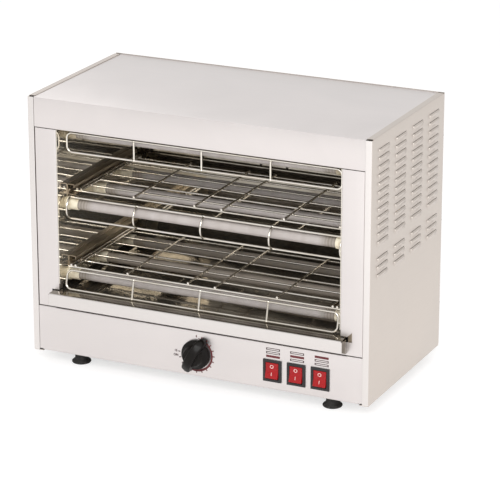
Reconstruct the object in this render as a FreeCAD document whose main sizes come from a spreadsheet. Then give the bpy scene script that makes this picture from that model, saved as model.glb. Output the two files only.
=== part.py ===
import FreeCAD, Part
import math
import os
import re
from FreeCAD import Placement, Rotation, Vector

# Counter toaster with two racks and three rows of quartz tubes.
# The origin is the middle of the footprint, on the surface that the feet stand on.
# +X is the right side seen from the front, +Y the back and +Z up, in millimetres.
# Heights named level, drop or height are above the underside of the sheet metal body,
# and setbacks are behind its front face, unless their comment says otherwise.

SIZES = {
    # Sheet metal body
    "body_width": 500.0,
    "body_depth": 252.0,
    "body_height": 360.0,
    "sheet_gauge": 1.0,
    "seam_gap": 0.5,
    "side_flange": 9.0,
    "bottom_flange": 14.0,
    "corner_relief": 3.0,
    "fascia_height": 42.5,
    "fascia_return": 8.0,
    "rear_fold": 15.0,
    "control_height": 64.0,
    "control_fold": 10.0,
    "post_width": 32.0,
    "frame_return": 10.0,
    "slot_step": 17.5,
    "slot_floor": 83.0,
    "slot_roof": 97.0,
    "base_rim": 12.0,
    "vent_length": 60.0,
    "vent_width": 5.0,
    "vent_pitch": 14.0,
    # Louvres of the side panels
    "louvre_length": 36.0,
    "louvre_height": 8.0,
    "louvre_bulge": 3.0,
    "louvre_pitch": 11.3,
    "louvre_drop": 17.0,
    "louvre_spacing": 58.0,
    # Toasting chamber
    "cavity_inset": 1.0,
    "back_space": 24.0,
    "roof_drop": 35.0,
    "cavity_flange": 18.5,
    "roof_lip": 14.0,
    "shield_level": 78.0,
    # Crumb tray
    "tray_side_gap": 8.5,
    "tray_back_gap": 6.0,
    "tray_level": 89.0,
    "tray_reach": 15.5,
    "tray_lip": 17.0,
    "tray_rim": 6.0,
    "runner_ledge": 18.0,
    "running_gap": 0.3,
    # Heating elements
    "element_level": 106.0,
    "element_rise": 100.3,
    "tube_setback": 30.0,
    "tube_pitch": 80.0,
    "tube_diameter": 14.0,
    "tube_wall": 1.2,
    "cap_diameter": 16.0,
    "cap_reach": 14.0,
    "cap_collar": 19.0,
    "cap_collar_depth": 3.0,
    "cap_socket": 9.0,
    "fit_clearance": 0.1,
    "neck_diameter": 9.6,
    "neck_reach": 8.0,
    "stud_diameter": 3.0,
    "stud_reach": 8.0,
    "coil_diameter": 6.0,
    "strip_width": 12.0,
    # Wire guards
    "guard_wire": 3.0,
    "guard_rib_wire": 2.8,
    "guard_stub_wire": 2.4,
    "guard_inset": 6.0,
    "guard_corner": 8.0,
    "guard_rib_spacing": 100.0,
    "guard_top_level": 283.0,
    "guard_top_height": 27.0,
    "guard_top_setback": 18.5,
    "guard_middle_level": 186.5,
    "guard_middle_height": 30.5,
    "guard_middle_setback": 25.0,
    "guard_middle_bulge": 12.0,
    "guard_bottom_level": 91.0,
    "guard_bottom_height": 25.5,
    "guard_bottom_setback": 12.5,
    "guard_bottom_lean": 6.0,
    # Racks and their rails
    "rack_wire": 3.0,
    "rack_side_gap": 5.0,
    "rack_wire_pitch": 28.4,
    "rack_lower_level": 120.0,
    "rack_upper_level": 222.5,
    "rack_lower_setback": 17.0,
    "rack_upper_setback": 38.0,
    "weld_depth": 0.2,
    "rack_cross_inner": 20.0,
    "rack_cross_outer": 111.0,
    "rack_side_inner": 11.5,
    "rack_side_outer": 5.0,
    "rail_setback": 27.0,
    "rail_ledge": 12.0,
    "rail_top": 11.0,
    "rail_rise": 12.0,
    "rail_lip": 6.0,
    # Timer and its knob
    "knob_level": 30.6,
    "knob_reach": 24.0,
    "knob_gap": 1.5,
    "knob_skirt_diameter": 40.0,
    "knob_skirt_depth": 5.0,
    "knob_hub_diameter": 26.0,
    "knob_hub_depth": 10.0,
    "knob_bar_width": 11.0,
    "knob_bar_length": 56.0,
    "knob_bar_end": 6.0,
    "knob_pointer": 28.8,
    "shaft_diameter": 6.0,
    "shaft_flat": 1.5,
    "shaft_reach": 17.0,
    "bush_diameter": 9.0,
    "bush_reach": 5.0,
    "nut_width": 14.0,
    "nut_depth": 3.0,
    "nut_room": 18.2,
    "timer_width": 42.0,
    "timer_depth": 40.0,
    # Rocker switches
    "switch_inset": 59.5,
    "switch_pitch": 34.5,
    "switch_level": 25.3,
    "bezel_width": 26.5,
    "bezel_height": 31.0,
    "bezel_depth": 2.0,
    "switch_width": 22.0,
    "switch_height": 27.0,
    "switch_depth": 24.0,
    "switch_wall": 1.0,
    "rocker_gap": 0.5,
    "rocker_proud": 1.5,
    "rocker_waist": 7.5,
    "rocker_tilt": 8.0,
    "rocker_well": 9.0,
    "pivot_diameter": 3.0,
    "pivot_reach": 0.7,
    "blade_width": 6.3,
    "blade_gauge": 0.8,
    "blade_reach": 8.0,
    # Feet, fasteners and the cable inlet
    "foot_height": 20.0,
    "foot_diameter": 28.5,
    "foot_flange": 6.0,
    "foot_neck": 20.0,
    "foot_inset": 61.0,
    "foot_setback": 23.5,
    "foot_recess": 5.0,
    "screw_diameter": 4.0,
    "screw_head": 8.0,
    "screw_head_depth": 2.5,
    "screw_length": 8.0,
    "gland_inset": 80.0,
    "gland_level": 36.0,
    "gland_reach": 14.0,
    "gland_thread": 15.0,
    "gland_nut_width": 22.0,
    "gland_bore": 8.0,
    "block_length": 46.0,
    "block_depth": 22.0,
    "block_height": 16.0,
    "block_setback": 30.0,
    "block_pitch": 13.0,
    "block_hole": 5.3,
    "block_hole_level": 8.8,
    "loom_diameter": 7.0,
    "loom_bend": 14.0,
}

# Places worked out from the sizes, in the frame of the origin.
PLACES = {
    "front_y": "(knob_reach - body_depth - gland_reach) / 2",
    "back_y": "front_y + body_depth",
    "floor_z": "foot_height",
    "top_z": "foot_height + body_height",
    "half_body": "body_width / 2",
    "half_front": "body_width / 2 - side_flange - seam_gap",
    "fascia_z": "top_z - fascia_height",
    "half_opening": "half_front - post_width",
    "half_slot": "half_opening + slot_step",
    "half_cavity": "half_opening - cavity_inset",
    "cavity_front_y": "front_y + frame_return",
    "cavity_back_y": "back_y - back_space",
    "cavity_roof_z": "top_z - roof_drop",
    "cavity_floor_z": "floor_z + slot_roof + sheet_gauge",
    "half_tray": "half_slot - tray_side_gap",
    "tray_z": "floor_z + tray_level",
    "tray_front_y": "front_y - tray_reach",
    "tray_back_y": "cavity_back_y - tray_back_gap",
    "runner_outer": "half_cavity + cavity_flange",
    "cap_inner": "half_cavity - cap_reach",
    "tube_half": "half_cavity - cap_reach + cap_socket",
    "stud_end": "half_cavity + sheet_gauge + neck_reach + stud_reach",
    "strip_inner": "half_cavity + sheet_gauge + neck_reach + running_gap",
    "half_guard": "half_cavity - guard_inset",
    "half_rack": "half_cavity - rack_side_gap",
    "rack_stop_y": "front_y + rack_upper_setback + 6 * rack_wire_pitch + rack_wire / 2 + running_gap",
    "knob_z": "floor_z + knob_level",
    "switch_z": "floor_z + switch_level",
    "switch_last": "half_front - switch_inset",
    "well_half_width": "switch_width / 2 - switch_wall",
    "well_half_height": "switch_height / 2 - switch_wall",
    "pivot_y": "front_y + rocker_well / 2",
    "gland_x": "half_body - gland_inset",
    "gland_z": "floor_z + gland_level",
}

LOUVRE_COLUMNS = (-1.5, -0.5, 0.5, 1.5)
LOUVRE_ROWS = (0, 1, 2, 3, 4, 5, 6, 7, 8, 9, 10, 11, 13, 14, 15)
RACK_LONG_WIRES = 7
TUBE_ROWS = 3
SIDES = {"left": -1, "right": 1}
LEVELS = {"bottom": 0, "middle": 1, "top": 2}

doc = FreeCAD.newDocument("Toaster")
sheet = doc.addObject("Spreadsheet::Sheet", "Sizes")
for row, (word, number) in enumerate(SIZES.items(), start=1):
    sheet.set(f"A{row}", word)
    sheet.set(f"B{row}", str(number))
    sheet.setAlias(f"B{row}", word)
doc.recompute()

places = doc.addObject("App::VarSet", "Places")


def formula(text):
    """Turn a length written in the sheet's words into an expression of the document."""
    def owner(match):
        word = match.group(0)
        if word in SIZES:
            return "Sizes." + word
        if word in PLACES:
            return "Places." + word
        return word
    return re.sub(r"[a-z][a-z0-9_]*", owner, text)


for word, text in PLACES.items():
    places.addProperty("App::PropertyFloat", word)
for word, text in PLACES.items():
    places.setExpression(word, formula(text).replace("Places.", ""))
doc.recompute()

size = {word: float(sheet.get(word)) for word in SIZES}
place = {word: float(places.getPropertyByName(word)) for word in PLACES}
nodes = []


def keep(name, solid):
    """Name a finished sub-part, which is written under that name."""
    solid.Label = name
    nodes.append(solid)
    return solid


def block(x, y, z):
    """A box between two bounds on each axis, each bound a formula."""
    solid = doc.addObject("Part::Box", "Block")
    for length, axis, (low, high) in (("Length", "x", x), ("Width", "y", y), ("Height", "z", z)):
        solid.setExpression(length, formula(f"({high}) - ({low})"))
        solid.setExpression(f"Placement.Base.{axis}", formula(low))
    return solid


TURNS = {
    "x": Rotation(Vector(0, 1, 0), 90),
    "y": Rotation(Vector(1, 0, 0), -90),
    "z": Rotation(),
}


def turned(solid, along, start):
    """Point a primitive's own Z along a row axis and bind the place of its start."""
    solid.Placement = Placement(Vector(), TURNS[along])
    for axis, text in zip("xyz", start):
        solid.setExpression(f"Placement.Base.{axis}", formula(str(text)))
    return solid


def rod(along, start, length, diameter):
    """A round bar that runs along one axis from its start."""
    solid = doc.addObject("Part::Cylinder", "Rod")
    solid.setExpression("Radius", formula(f"({diameter}) / 2"))
    solid.setExpression("Height", formula(length))
    return turned(solid, along, start)


def hexagon(along, start, length, across_flats):
    """A six-sided bar that runs along one axis from its start."""
    solid = doc.addObject("Part::Prism", "Hexagon")
    solid.Polygon = 6
    solid.setExpression("Circumradius", formula(f"({across_flats}) / 2 / cos(30)"))
    solid.setExpression("Height", formula(length))
    return turned(solid, along, start)


def joined(pieces):
    """One solid, or one group of loose solids, from several."""
    if len(pieces) == 1:
        return pieces[0]
    whole = doc.addObject("Part::MultiFuse", "Joined")
    whole.Shapes = pieces
    whole.Refine = True
    return whole


def without(base, tools):
    """A solid with others taken out of it."""
    rest = doc.addObject("Part::Cut", "Cut")
    rest.Base = base
    rest.Tool = joined(tools)
    rest.Refine = True
    return rest


def drawn(shape):
    """A shape made with Part's own functions, as an object of the document."""
    solid = doc.addObject("Part::Feature", "Drawn")
    solid.Shape = shape
    return solid


def on_side(side, low, high):
    """The bounds of a piece on the left or the right, given for the right."""
    return (low, high) if side > 0 else (f"-({high})", f"-({low})")


def sided(side, text):
    """A length on the right as it is, and on the left with its sign turned."""
    return text if side > 0 else f"-({text})"


def louvre_shapes(side):
    """The pressed hoods of one side panel, and the slots that they cover."""
    outer = place["half_body"]
    gauge = size["sheet_gauge"]
    middle_y = place["front_y"] + size["body_depth"] / 2
    length = size["louvre_length"]
    height = size["louvre_height"]
    out = outer + size["louvre_bulge"]
    slope = [(outer - gauge, 0), (outer, 0), (out, height), (out - gauge, height)]
    cheek = [(outer - gauge, 0), (outer, 0), (out, height), (outer - gauge, height)]
    bars = []
    for outline, begin, width in ((slope, 0, length), (cheek, 0, gauge), (cheek, length - gauge, gauge)):
        points = [Vector(side * x, begin, z) for x, z in outline + outline[:1]]
        bars.append(Part.Face(Part.makePolygon(points)).extrude(Vector(0, width, 0)))
    hood = bars[0].fuse(bars[1:])
    corner = Vector(min(side * outer, side * (outer - gauge)), 0, 0)
    slot = Part.makeBox(gauge, length, height, corner)
    hoods, slots = [], []
    for row_number in LOUVRE_ROWS:
        z = place["top_z"] - size["louvre_drop"] - row_number * size["louvre_pitch"] - height
        for column in LOUVRE_COLUMNS:
            y = middle_y + column * size["louvre_spacing"] - length / 2
            hoods.append(hood.translated(Vector(0, y, z)))
            slots.append(slot.translated(Vector(0, y, z)))
    return drawn(Part.makeCompound(hoods)), drawn(Part.makeCompound(slots))


def side_screw_places():
    """Height and formula of each screw of the back panel's two upright edges."""
    return ("floor_z + body_height / 6", "floor_z + body_height / 2", "floor_z + body_height * 5 / 6")


def side_panel(name, side):
    """Outer side sheet with folded edges and rows of pressed louvres that open upwards."""
    sheet_part = joined([
        block(on_side(side, "half_body - sheet_gauge", "half_body"),
              ("front_y", "back_y - sheet_gauge"), ("floor_z", "top_z")),
        block(on_side(side, "half_body - side_flange", "half_body"),
              ("front_y", "front_y + sheet_gauge"), ("floor_z", "top_z")),
        block(on_side(side, "half_body - side_flange", "half_body"),
              ("back_y - 2 * sheet_gauge", "back_y - sheet_gauge"), ("floor_z", "top_z")),
        block(on_side(side, "half_body - side_flange", "half_body"),
              ("front_y", "back_y - sheet_gauge"), ("top_z - sheet_gauge", "top_z")),
        block(on_side(side, "half_body - bottom_flange", "half_body"),
              ("front_y + sheet_gauge", "back_y - sheet_gauge"), ("floor_z", "floor_z + sheet_gauge")),
    ])
    reliefs = [
        block(on_side(side, "half_body - side_flange", "half_body - corner_relief"),
              bounds, ("top_z - corner_relief", "top_z"))
        for bounds in (("front_y", "front_y + corner_relief"),
                       ("back_y - sheet_gauge - corner_relief", "back_y - sheet_gauge"))
    ]
    holes = [
        rod("y", (sided(side, "half_body - side_flange / 2"), "back_y - 3 * sheet_gauge", level),
            "3 * sheet_gauge", "screw_diameter + 2 * fit_clearance")
        for level in side_screw_places()
    ]
    hoods, slots = louvre_shapes(side)
    keep(name, joined([without(sheet_part, reliefs + holes + [slots]), hoods]))


def top_panel():
    """Top sheet, folded down at the front into the fascia and at the back under the back panel."""
    width = ("-half_front", "half_front")
    folded = joined([
        block(width, ("front_y", "back_y - sheet_gauge"), ("top_z - sheet_gauge", "top_z")),
        block(width, ("front_y", "front_y + sheet_gauge"), ("fascia_z", "top_z")),
        block(width, ("front_y", "front_y + fascia_return"), ("fascia_z", "fascia_z + sheet_gauge")),
        block(width, ("back_y - 2 * sheet_gauge", "back_y - sheet_gauge"), ("top_z - rear_fold", "top_z")),
    ])
    holes = [
        rod("y", (x, "back_y - 3 * sheet_gauge", "top_z - rear_fold / 2"),
            "3 * sheet_gauge", "screw_diameter + 2 * fit_clearance")
        for x in ("-body_width / 4", "body_width / 4")
    ]
    keep("top_panel", without(folded, holes))


def front_frame():
    """Front sheet round the opening: two posts, the strip under the tray slot and folded edges."""
    upper = "fascia_z - seam_gap"
    lower = "floor_z + control_height + seam_gap"
    pieces = [
        block(("-half_front", "half_front"), ("front_y", "front_y + sheet_gauge"),
              (lower, "floor_z + slot_roof")),
    ]
    for side in SIDES.values():
        pieces += [
            block(on_side(side, "half_opening", "half_front"), ("front_y", "front_y + sheet_gauge"),
                  (lower, upper)),
            block(on_side(side, "half_front - sheet_gauge", "half_front"),
                  ("front_y", "front_y + frame_return"), (lower, upper)),
            block(on_side(side, "half_opening", "half_opening + sheet_gauge"),
                  ("front_y", "front_y + frame_return"), ("floor_z + slot_roof", upper)),
        ]
    slot = block(("-half_slot", "half_slot"), ("front_y - sheet_gauge", "front_y + 2 * sheet_gauge"),
                 ("floor_z + slot_floor", "floor_z + slot_roof"))
    keep("front_frame", without(joined(pieces), [slot]))


def control_panel():
    """Control sheet under the opening, with holes for the timer's bush and three switches."""
    width = ("-half_front", "half_front")
    folded = joined([
        block(width, ("front_y", "front_y + sheet_gauge"), ("floor_z", "floor_z + control_height")),
        block(("-half_body + bottom_flange + seam_gap", "half_body - bottom_flange - seam_gap"),
              ("front_y", "front_y + control_fold"), ("floor_z", "floor_z + sheet_gauge")),
        block(width, ("front_y", "front_y + control_fold"),
              ("floor_z + control_height - sheet_gauge", "floor_z + control_height")),
    ])
    holes = [rod("y", ("0", "front_y - sheet_gauge", "knob_z"), "3 * sheet_gauge",
                 "bush_diameter + 2 * fit_clearance")]
    for number in range(3):
        middle = f"(switch_last + ({number} - 2) * switch_pitch)"
        holes.append(block(
            (f"{middle} - switch_width / 2 - running_gap", f"{middle} + switch_width / 2 + running_gap"),
            ("front_y - sheet_gauge", "front_y + 2 * sheet_gauge"),
            ("switch_z - switch_height / 2 - running_gap", "switch_z + switch_height / 2 + running_gap")))
    keep("control_panel", without(folded, holes))


def foot_places():
    """Name and formulas of the middle of each foot."""
    for side_name, side in SIDES.items():
        x = sided(side, "half_body - foot_inset")
        yield f"front_{side_name}", x, "front_y + foot_setback"
        yield f"rear_{side_name}", x, "back_y - foot_setback"


def base_panel():
    """Bottom sheet with an upturned back rim, cooling slots and the holes of the foot screws."""
    width = ("-half_body + bottom_flange + seam_gap", "half_body - bottom_flange - seam_gap")
    back = "back_y - 2 * sheet_gauge - seam_gap"
    plate = joined([
        block(width, ("front_y + control_fold + seam_gap", back), ("floor_z", "floor_z + sheet_gauge")),
        block(width, (f"{back} - sheet_gauge", back), ("floor_z", "floor_z + base_rim")),
    ])
    cuts = [
        rod("z", (x, y, "floor_z - sheet_gauge"), "3 * sheet_gauge", "screw_diameter + 2 * fit_clearance")
        for _, x, y in foot_places()
    ]
    for side in SIDES.values():
        for number in range(6):
            middle = f"front_y + body_depth / 2 + ({number} - 2.5) * vent_pitch"
            cuts.append(block(
                on_side(side, "body_width / 6 - vent_length / 2", "body_width / 6 + vent_length / 2"),
                (f"{middle} - vent_width / 2", f"{middle} + vent_width / 2"),
                ("floor_z - sheet_gauge", "floor_z + 2 * sheet_gauge")))
    keep("base_panel", without(plate, cuts))


def rear_panel():
    """Back sheet screwed over the folded edges, with cooling slots and the cable inlet's hole."""
    plate = block(("-half_body + seam_gap", "half_body - seam_gap"), ("back_y - sheet_gauge", "back_y"),
                  ("floor_z", "top_z"))
    cuts = [rod("y", ("gland_x", "back_y - 2 * sheet_gauge", "gland_z"), "3 * sheet_gauge",
                "gland_thread + 2 * fit_clearance")]
    for x, z in screw_places():
        cuts.append(rod("y", (x, "back_y - 2 * sheet_gauge", z), "3 * sheet_gauge",
                        "screw_diameter + 2 * fit_clearance"))
    for side in SIDES.values():
        for number in range(6):
            middle = f"top_z - body_height / 3 + ({number} - 2.5) * vent_pitch"
            cuts.append(block(
                on_side(side, "body_width / 6 - vent_length / 2", "body_width / 6 + vent_length / 2"),
                ("back_y - 2 * sheet_gauge", "back_y + sheet_gauge"),
                (f"{middle} - vent_width / 2", f"{middle} + vent_width / 2")))
    keep("rear_panel", without(plate, cuts))


def screw_places():
    """Formulas of the back panel's screws: three on each upright edge and two along the top."""
    for side in SIDES.values():
        for level in side_screw_places():
            yield sided(side, "half_body - side_flange / 2"), level
        yield sided(side, "body_width / 4"), "top_z - rear_fold / 2"


def tube_y(row_number):
    """Formula of a tube's distance from the back of the front face."""
    return f"front_y + tube_setback + {row_number} * tube_pitch"


def tube_z(level_number):
    """Formula of the height of a level of tubes."""
    return f"floor_z + element_level + {level_number} * element_rise"


def cavity_wall(name, side):
    """Polished side wall of the chamber, folded outwards all round, with a hole for each cap's neck."""
    wall = joined([
        block(on_side(side, "half_cavity", "half_cavity + sheet_gauge"), ("cavity_front_y", "cavity_back_y"),
              ("cavity_floor_z", "cavity_roof_z")),
        block(on_side(side, "half_cavity", "runner_outer"), ("cavity_front_y", "cavity_front_y + sheet_gauge"),
              ("cavity_floor_z", "cavity_roof_z")),
        block(on_side(side, "half_cavity", "runner_outer"), ("cavity_front_y", "cavity_back_y"),
              ("cavity_floor_z", "cavity_floor_z + sheet_gauge")),
        block(on_side(side, "half_cavity", "runner_outer"), ("cavity_back_y - sheet_gauge", "cavity_back_y"),
              ("cavity_floor_z", "cavity_roof_z")),
    ])
    holes = []
    for level_number in LEVELS.values():
        for row_number in range(TUBE_ROWS):
            start = sided(side, "half_cavity - sheet_gauge") if side > 0 else "-half_cavity - 2 * sheet_gauge"
            holes.append(rod("x", (start, tube_y(row_number), tube_z(level_number)), "3 * sheet_gauge",
                             "neck_diameter + 2 * fit_clearance"))
    keep(name, without(wall, holes))


def cavity_shell():
    """Polished back wall and roof of the chamber, and the shield between the tray and the controls."""
    keep("cavity_back_wall", block(
        ("-half_cavity - cavity_flange", "half_cavity + cavity_flange"),
        ("cavity_back_y", "cavity_back_y + sheet_gauge"), ("floor_z + shield_level", "cavity_roof_z")))
    keep("cavity_roof", joined([
        block(("-runner_outer", "runner_outer"), ("cavity_front_y", "cavity_back_y + sheet_gauge"),
              ("cavity_roof_z", "cavity_roof_z + sheet_gauge")),
        block(("-runner_outer", "runner_outer"), ("cavity_front_y", "cavity_front_y + sheet_gauge"),
              ("cavity_roof_z", "cavity_roof_z + roof_lip")),
    ]))
    outer = "runner_outer + sheet_gauge"
    keep("heat_shield", joined([
        block(("-runner_outer", "runner_outer"), ("cavity_front_y", "cavity_back_y"),
              ("floor_z + shield_level", "floor_z + shield_level + sheet_gauge")),
        block(("runner_outer", outer), ("cavity_front_y", "cavity_back_y"),
              ("floor_z + shield_level", "cavity_floor_z + sheet_gauge")),
        block(("-runner_outer - sheet_gauge", "-runner_outer"), ("cavity_front_y", "cavity_back_y"),
              ("floor_z + shield_level", "cavity_floor_z + sheet_gauge")),
    ]))


def tray_runner(name, side):
    """Angle under the chamber's side wall that the crumb tray slides on."""
    ledge = "tray_z - sheet_gauge - running_gap"
    keep(name, joined([
        block(on_side(side, "runner_outer - runner_ledge", "runner_outer"),
              ("cavity_front_y", "cavity_back_y"), (f"{ledge} - sheet_gauge", ledge)),
        block(on_side(side, "runner_outer - sheet_gauge", "runner_outer"),
              ("cavity_front_y", "cavity_back_y"), (f"{ledge} - sheet_gauge", "cavity_floor_z")),
    ]))


def crumb_tray():
    """Pull-out tray of polished sheet with low rims and a front lip to pull it by."""
    under = "tray_z - sheet_gauge"
    pieces = [
        block(("-half_tray", "half_tray"), ("tray_front_y", "tray_back_y"), (under, "tray_z")),
        block(("-half_tray", "half_tray"), ("tray_front_y", "tray_front_y + sheet_gauge"),
              ("tray_z - tray_lip", "tray_z")),
        block(("-half_tray", "half_tray"), ("tray_back_y - sheet_gauge", "tray_back_y"),
              (under, "tray_z + tray_rim")),
    ]
    for side in SIDES.values():
        width = on_side(side, "half_tray - sheet_gauge", "half_tray")
        pieces += [
            block(width, ("cavity_front_y", "tray_back_y"), (under, "tray_z + tray_rim")),
            block(width, ("tray_front_y", "front_y - sheet_gauge"), ("tray_z - tray_lip", "tray_z")),
        ]
    keep("crumb_tray", joined(pieces))


def rack(name, setback, level):
    """Welded wire rack: long wires from side to side under shorter ones from front to back."""
    pieces = []
    z = f"floor_z + {level}"
    for number in range(RACK_LONG_WIRES):
        pieces.append(rod("x", ("-half_rack", f"front_y + {setback} + {number} * rack_wire_pitch", z),
                          "2 * half_rack", "rack_wire"))
    for side in SIDES.values():
        for across in ("rack_cross_inner", "rack_cross_outer", "half_rack - rack_side_inner",
                       "half_rack - rack_side_outer"):
            pieces.append(rod(
                "y", (sided(side, across), f"front_y + {setback} - rack_wire / 2",
                      f"{z} + rack_wire - weld_depth"),
                f"{RACK_LONG_WIRES - 1} * rack_wire_pitch + rack_wire", "rack_wire"))
    keep(name, joined(pieces))


def rack_rail(name, side, level):
    """Channel on the side wall: a ledge under the rack and a turned-down lip above it."""
    under = f"floor_z + {level} - rack_wire / 2 - running_gap - sheet_gauge"
    over = f"floor_z + {level} + rail_rise"
    length = ("front_y + rail_setback", "rack_stop_y")
    keep(name, joined([
        block(on_side(side, "half_cavity - sheet_gauge", "half_cavity"), length, (under, over)),
        block(on_side(side, "half_cavity - rail_ledge", "half_cavity"), length,
              (under, f"{under} + sheet_gauge")),
        block(on_side(side, "half_cavity - rail_top", "half_cavity"), length,
              (f"{over} - sheet_gauge", over)),
        block(on_side(side, "half_cavity - rail_top", "half_cavity - rail_top + sheet_gauge"), length,
              (f"{over} - rail_lip", over)),
        block(on_side(side, "half_cavity - rail_ledge", "half_cavity"),
              ("rack_stop_y", "rack_stop_y + sheet_gauge"), (under, over)),
    ]))


def round_wire(path, diameter):
    """A bent wire: a round section carried along a path of lines and arcs."""
    first = path[0]
    start = first.valueAt(first.FirstParameter)
    section = Part.Wire(Part.Circle(start, first.tangentAt(first.FirstParameter), diameter / 2).toShape())
    return Part.Wire(path).makePipeShell([section], True, False)


def straight_wire(start, end, diameter):
    """A straight wire between two points."""
    run = end - start
    return Part.makeCylinder(diameter / 2, run.Length, start, run)


def turned_wire(centre, start, axis, angle, diameter):
    """A wire bent round a centre, from its start through an angle in degrees."""
    disc = Part.Face(Part.Wire(Part.Circle(start, axis.cross(start - centre), diameter / 2).toShape()))
    return disc.revolve(centre, axis, angle)


def loop_wires(half_span, y, low, high, corner, diameter):
    """The four sides and four round corners of a wire loop, upright in a plane square to Y."""
    pieces = []
    for across, up, turn in ((1, 1, 0), (1, -1, 90), (-1, -1, 180), (-1, 1, 270)):
        centre = Vector(across * (half_span - corner), y, high - corner if up > 0 else low + corner)
        reach = Vector(math.sin(math.radians(turn)), 0, math.cos(math.radians(turn))) * corner
        pieces.append(turned_wire(centre, centre + reach, Vector(0, 1, 0), 90, diameter))
    for z in (low, high):
        pieces.append(straight_wire(Vector(corner - half_span, y, z), Vector(half_span - corner, y, z), diameter))
    for x in (-half_span, half_span):
        pieces.append(straight_wire(Vector(x, y, low + corner), Vector(x, y, high - corner), diameter))
    return pieces


def guard(name, setback, level, height, lean):
    """Flat wire guard before a row of tubes: a loop, three ribs and a stub into each side wall.

    Its foot stands forward of its top wire by the lean.
    """
    wire = size["guard_wire"]
    half = place["half_guard"]
    y = place["front_y"] + setback
    high = place["floor_z"] + level + height
    low = high - math.hypot(height, lean)
    middle = (low + high) / 2
    pieces = loop_wires(half, y, low, high, size["guard_corner"], wire)
    for number in (-1, 0, 1):
        x = number * size["guard_rib_spacing"]
        pieces.append(straight_wire(Vector(x, y, low), Vector(x, y, high), size["guard_rib_wire"]))
    for side in SIDES.values():
        pieces.append(straight_wire(Vector(side * half, y, middle),
                                    Vector(side * place["half_cavity"], y, middle), size["guard_stub_wire"]))
    whole = pieces[0].fuse(pieces[1:])
    whole.rotate(Vector(0, y, high), Vector(1, 0, 0), -math.degrees(math.atan2(lean, height)))
    keep(name, drawn(whole))


def bowed_guard(name):
    """Wire guard before the middle row: two straight wires joined by ribs that bow forwards."""
    wire = size["guard_wire"]
    half = place["half_guard"]
    y = place["front_y"] + size["guard_middle_setback"]
    low = place["floor_z"] + size["guard_middle_level"]
    high = low + size["guard_middle_height"]
    middle = (low + high) / 2
    bulge = size["guard_middle_bulge"]
    half_chord = (high - low) / 2
    radius = (half_chord ** 2 + bulge ** 2) / (2 * bulge)
    centre_y = y - bulge + radius
    sweep = 2 * math.degrees(math.atan2(half_chord, centre_y - y))
    pieces = [straight_wire(Vector(-half - wire / 2, y, z), Vector(half + wire / 2, y, z), wire)
              for z in (low, high)]
    for x in (-half, -size["guard_rib_spacing"], 0, size["guard_rib_spacing"], half):
        pieces.append(turned_wire(Vector(x, centre_y, middle), Vector(x, y, low), Vector(-1, 0, 0), sweep,
                                  size["guard_rib_wire"]))
    for side in SIDES.values():
        pieces.append(straight_wire(Vector(side * half, y - bulge, middle),
                                    Vector(side * place["half_cavity"], y - bulge, middle),
                                    size["guard_stub_wire"]))
    keep(name, drawn(pieces[0].fuse(pieces[1:])))


def tube(name, level_number, row_number):
    """Frosted quartz tube round a heating coil."""
    start = ("-tube_half", tube_y(row_number), tube_z(level_number))
    keep(name, without(
        rod("x", start, "2 * tube_half", "tube_diameter"),
        [rod("x", start, "2 * tube_half", "tube_diameter - 2 * tube_wall")]))


def tube_caps(name, level_number):
    """Ceramic end caps of one level: a collared socket for the tube, and a neck through the wall."""
    solids, bores = [], []
    for row_number in range(TUBE_ROWS):
        y, z = tube_y(row_number), tube_z(level_number)
        for side in SIDES.values():
            head = "cap_inner" if side > 0 else "-half_cavity"
            neck = "half_cavity" if side > 0 else "-half_cavity - sheet_gauge - neck_reach"
            socket = "cap_inner" if side > 0 else "-cap_inner - cap_socket - fit_clearance"
            bore = "cap_inner" if side > 0 else "-stud_end"
            collar = "cap_inner" if side > 0 else "-cap_inner - cap_collar_depth"
            solids.append(rod("x", (head, y, z), "cap_reach", "cap_diameter"))
            solids.append(rod("x", (collar, y, z), "cap_collar_depth", "cap_collar"))
            solids.append(rod("x", (neck, y, z), "sheet_gauge + neck_reach", "neck_diameter"))
            bores.append(rod("x", (socket, y, z), "cap_socket + fit_clearance",
                             "tube_diameter + 2 * fit_clearance"))
            bores.append(rod("x", (bore, y, z), "stud_end - cap_inner",
                             "stud_diameter + 2 * fit_clearance"))
    keep(name, without(joined(solids), bores))


def heating_coils(name, level_number):
    """Coils of one level as plain cores, each with a stud out of both caps."""
    pieces = []
    for row_number in range(TUBE_ROWS):
        y, z = tube_y(row_number), tube_z(level_number)
        pieces.append(rod("x", ("-cap_inner", y, z), "2 * cap_inner", "coil_diameter"))
        pieces.append(rod("x", ("-stud_end", y, z), "2 * stud_end", "stud_diameter"))
    keep(name, joined(pieces))


def bus_strips(name, side):
    """Metal strips in the side space that join the studs of each level."""
    strips, holes = [], []
    for level_number in LEVELS.values():
        z = tube_z(level_number)
        strips.append(block(
            on_side(side, "strip_inner", "strip_inner + sheet_gauge"),
            (f"{tube_y(0)} - strip_width / 2", f"{tube_y(TUBE_ROWS - 1)} + strip_width / 2"),
            (f"{z} - strip_width / 2", f"{z} + strip_width / 2")))
        for row_number in range(TUBE_ROWS):
            start = "strip_inner - sheet_gauge" if side > 0 else "-strip_inner - 2 * sheet_gauge"
            holes.append(rod("x", (start, tube_y(row_number), z), "3 * sheet_gauge",
                             "stud_diameter + 2 * fit_clearance"))
    keep(name, without(joined(strips), holes))


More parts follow.
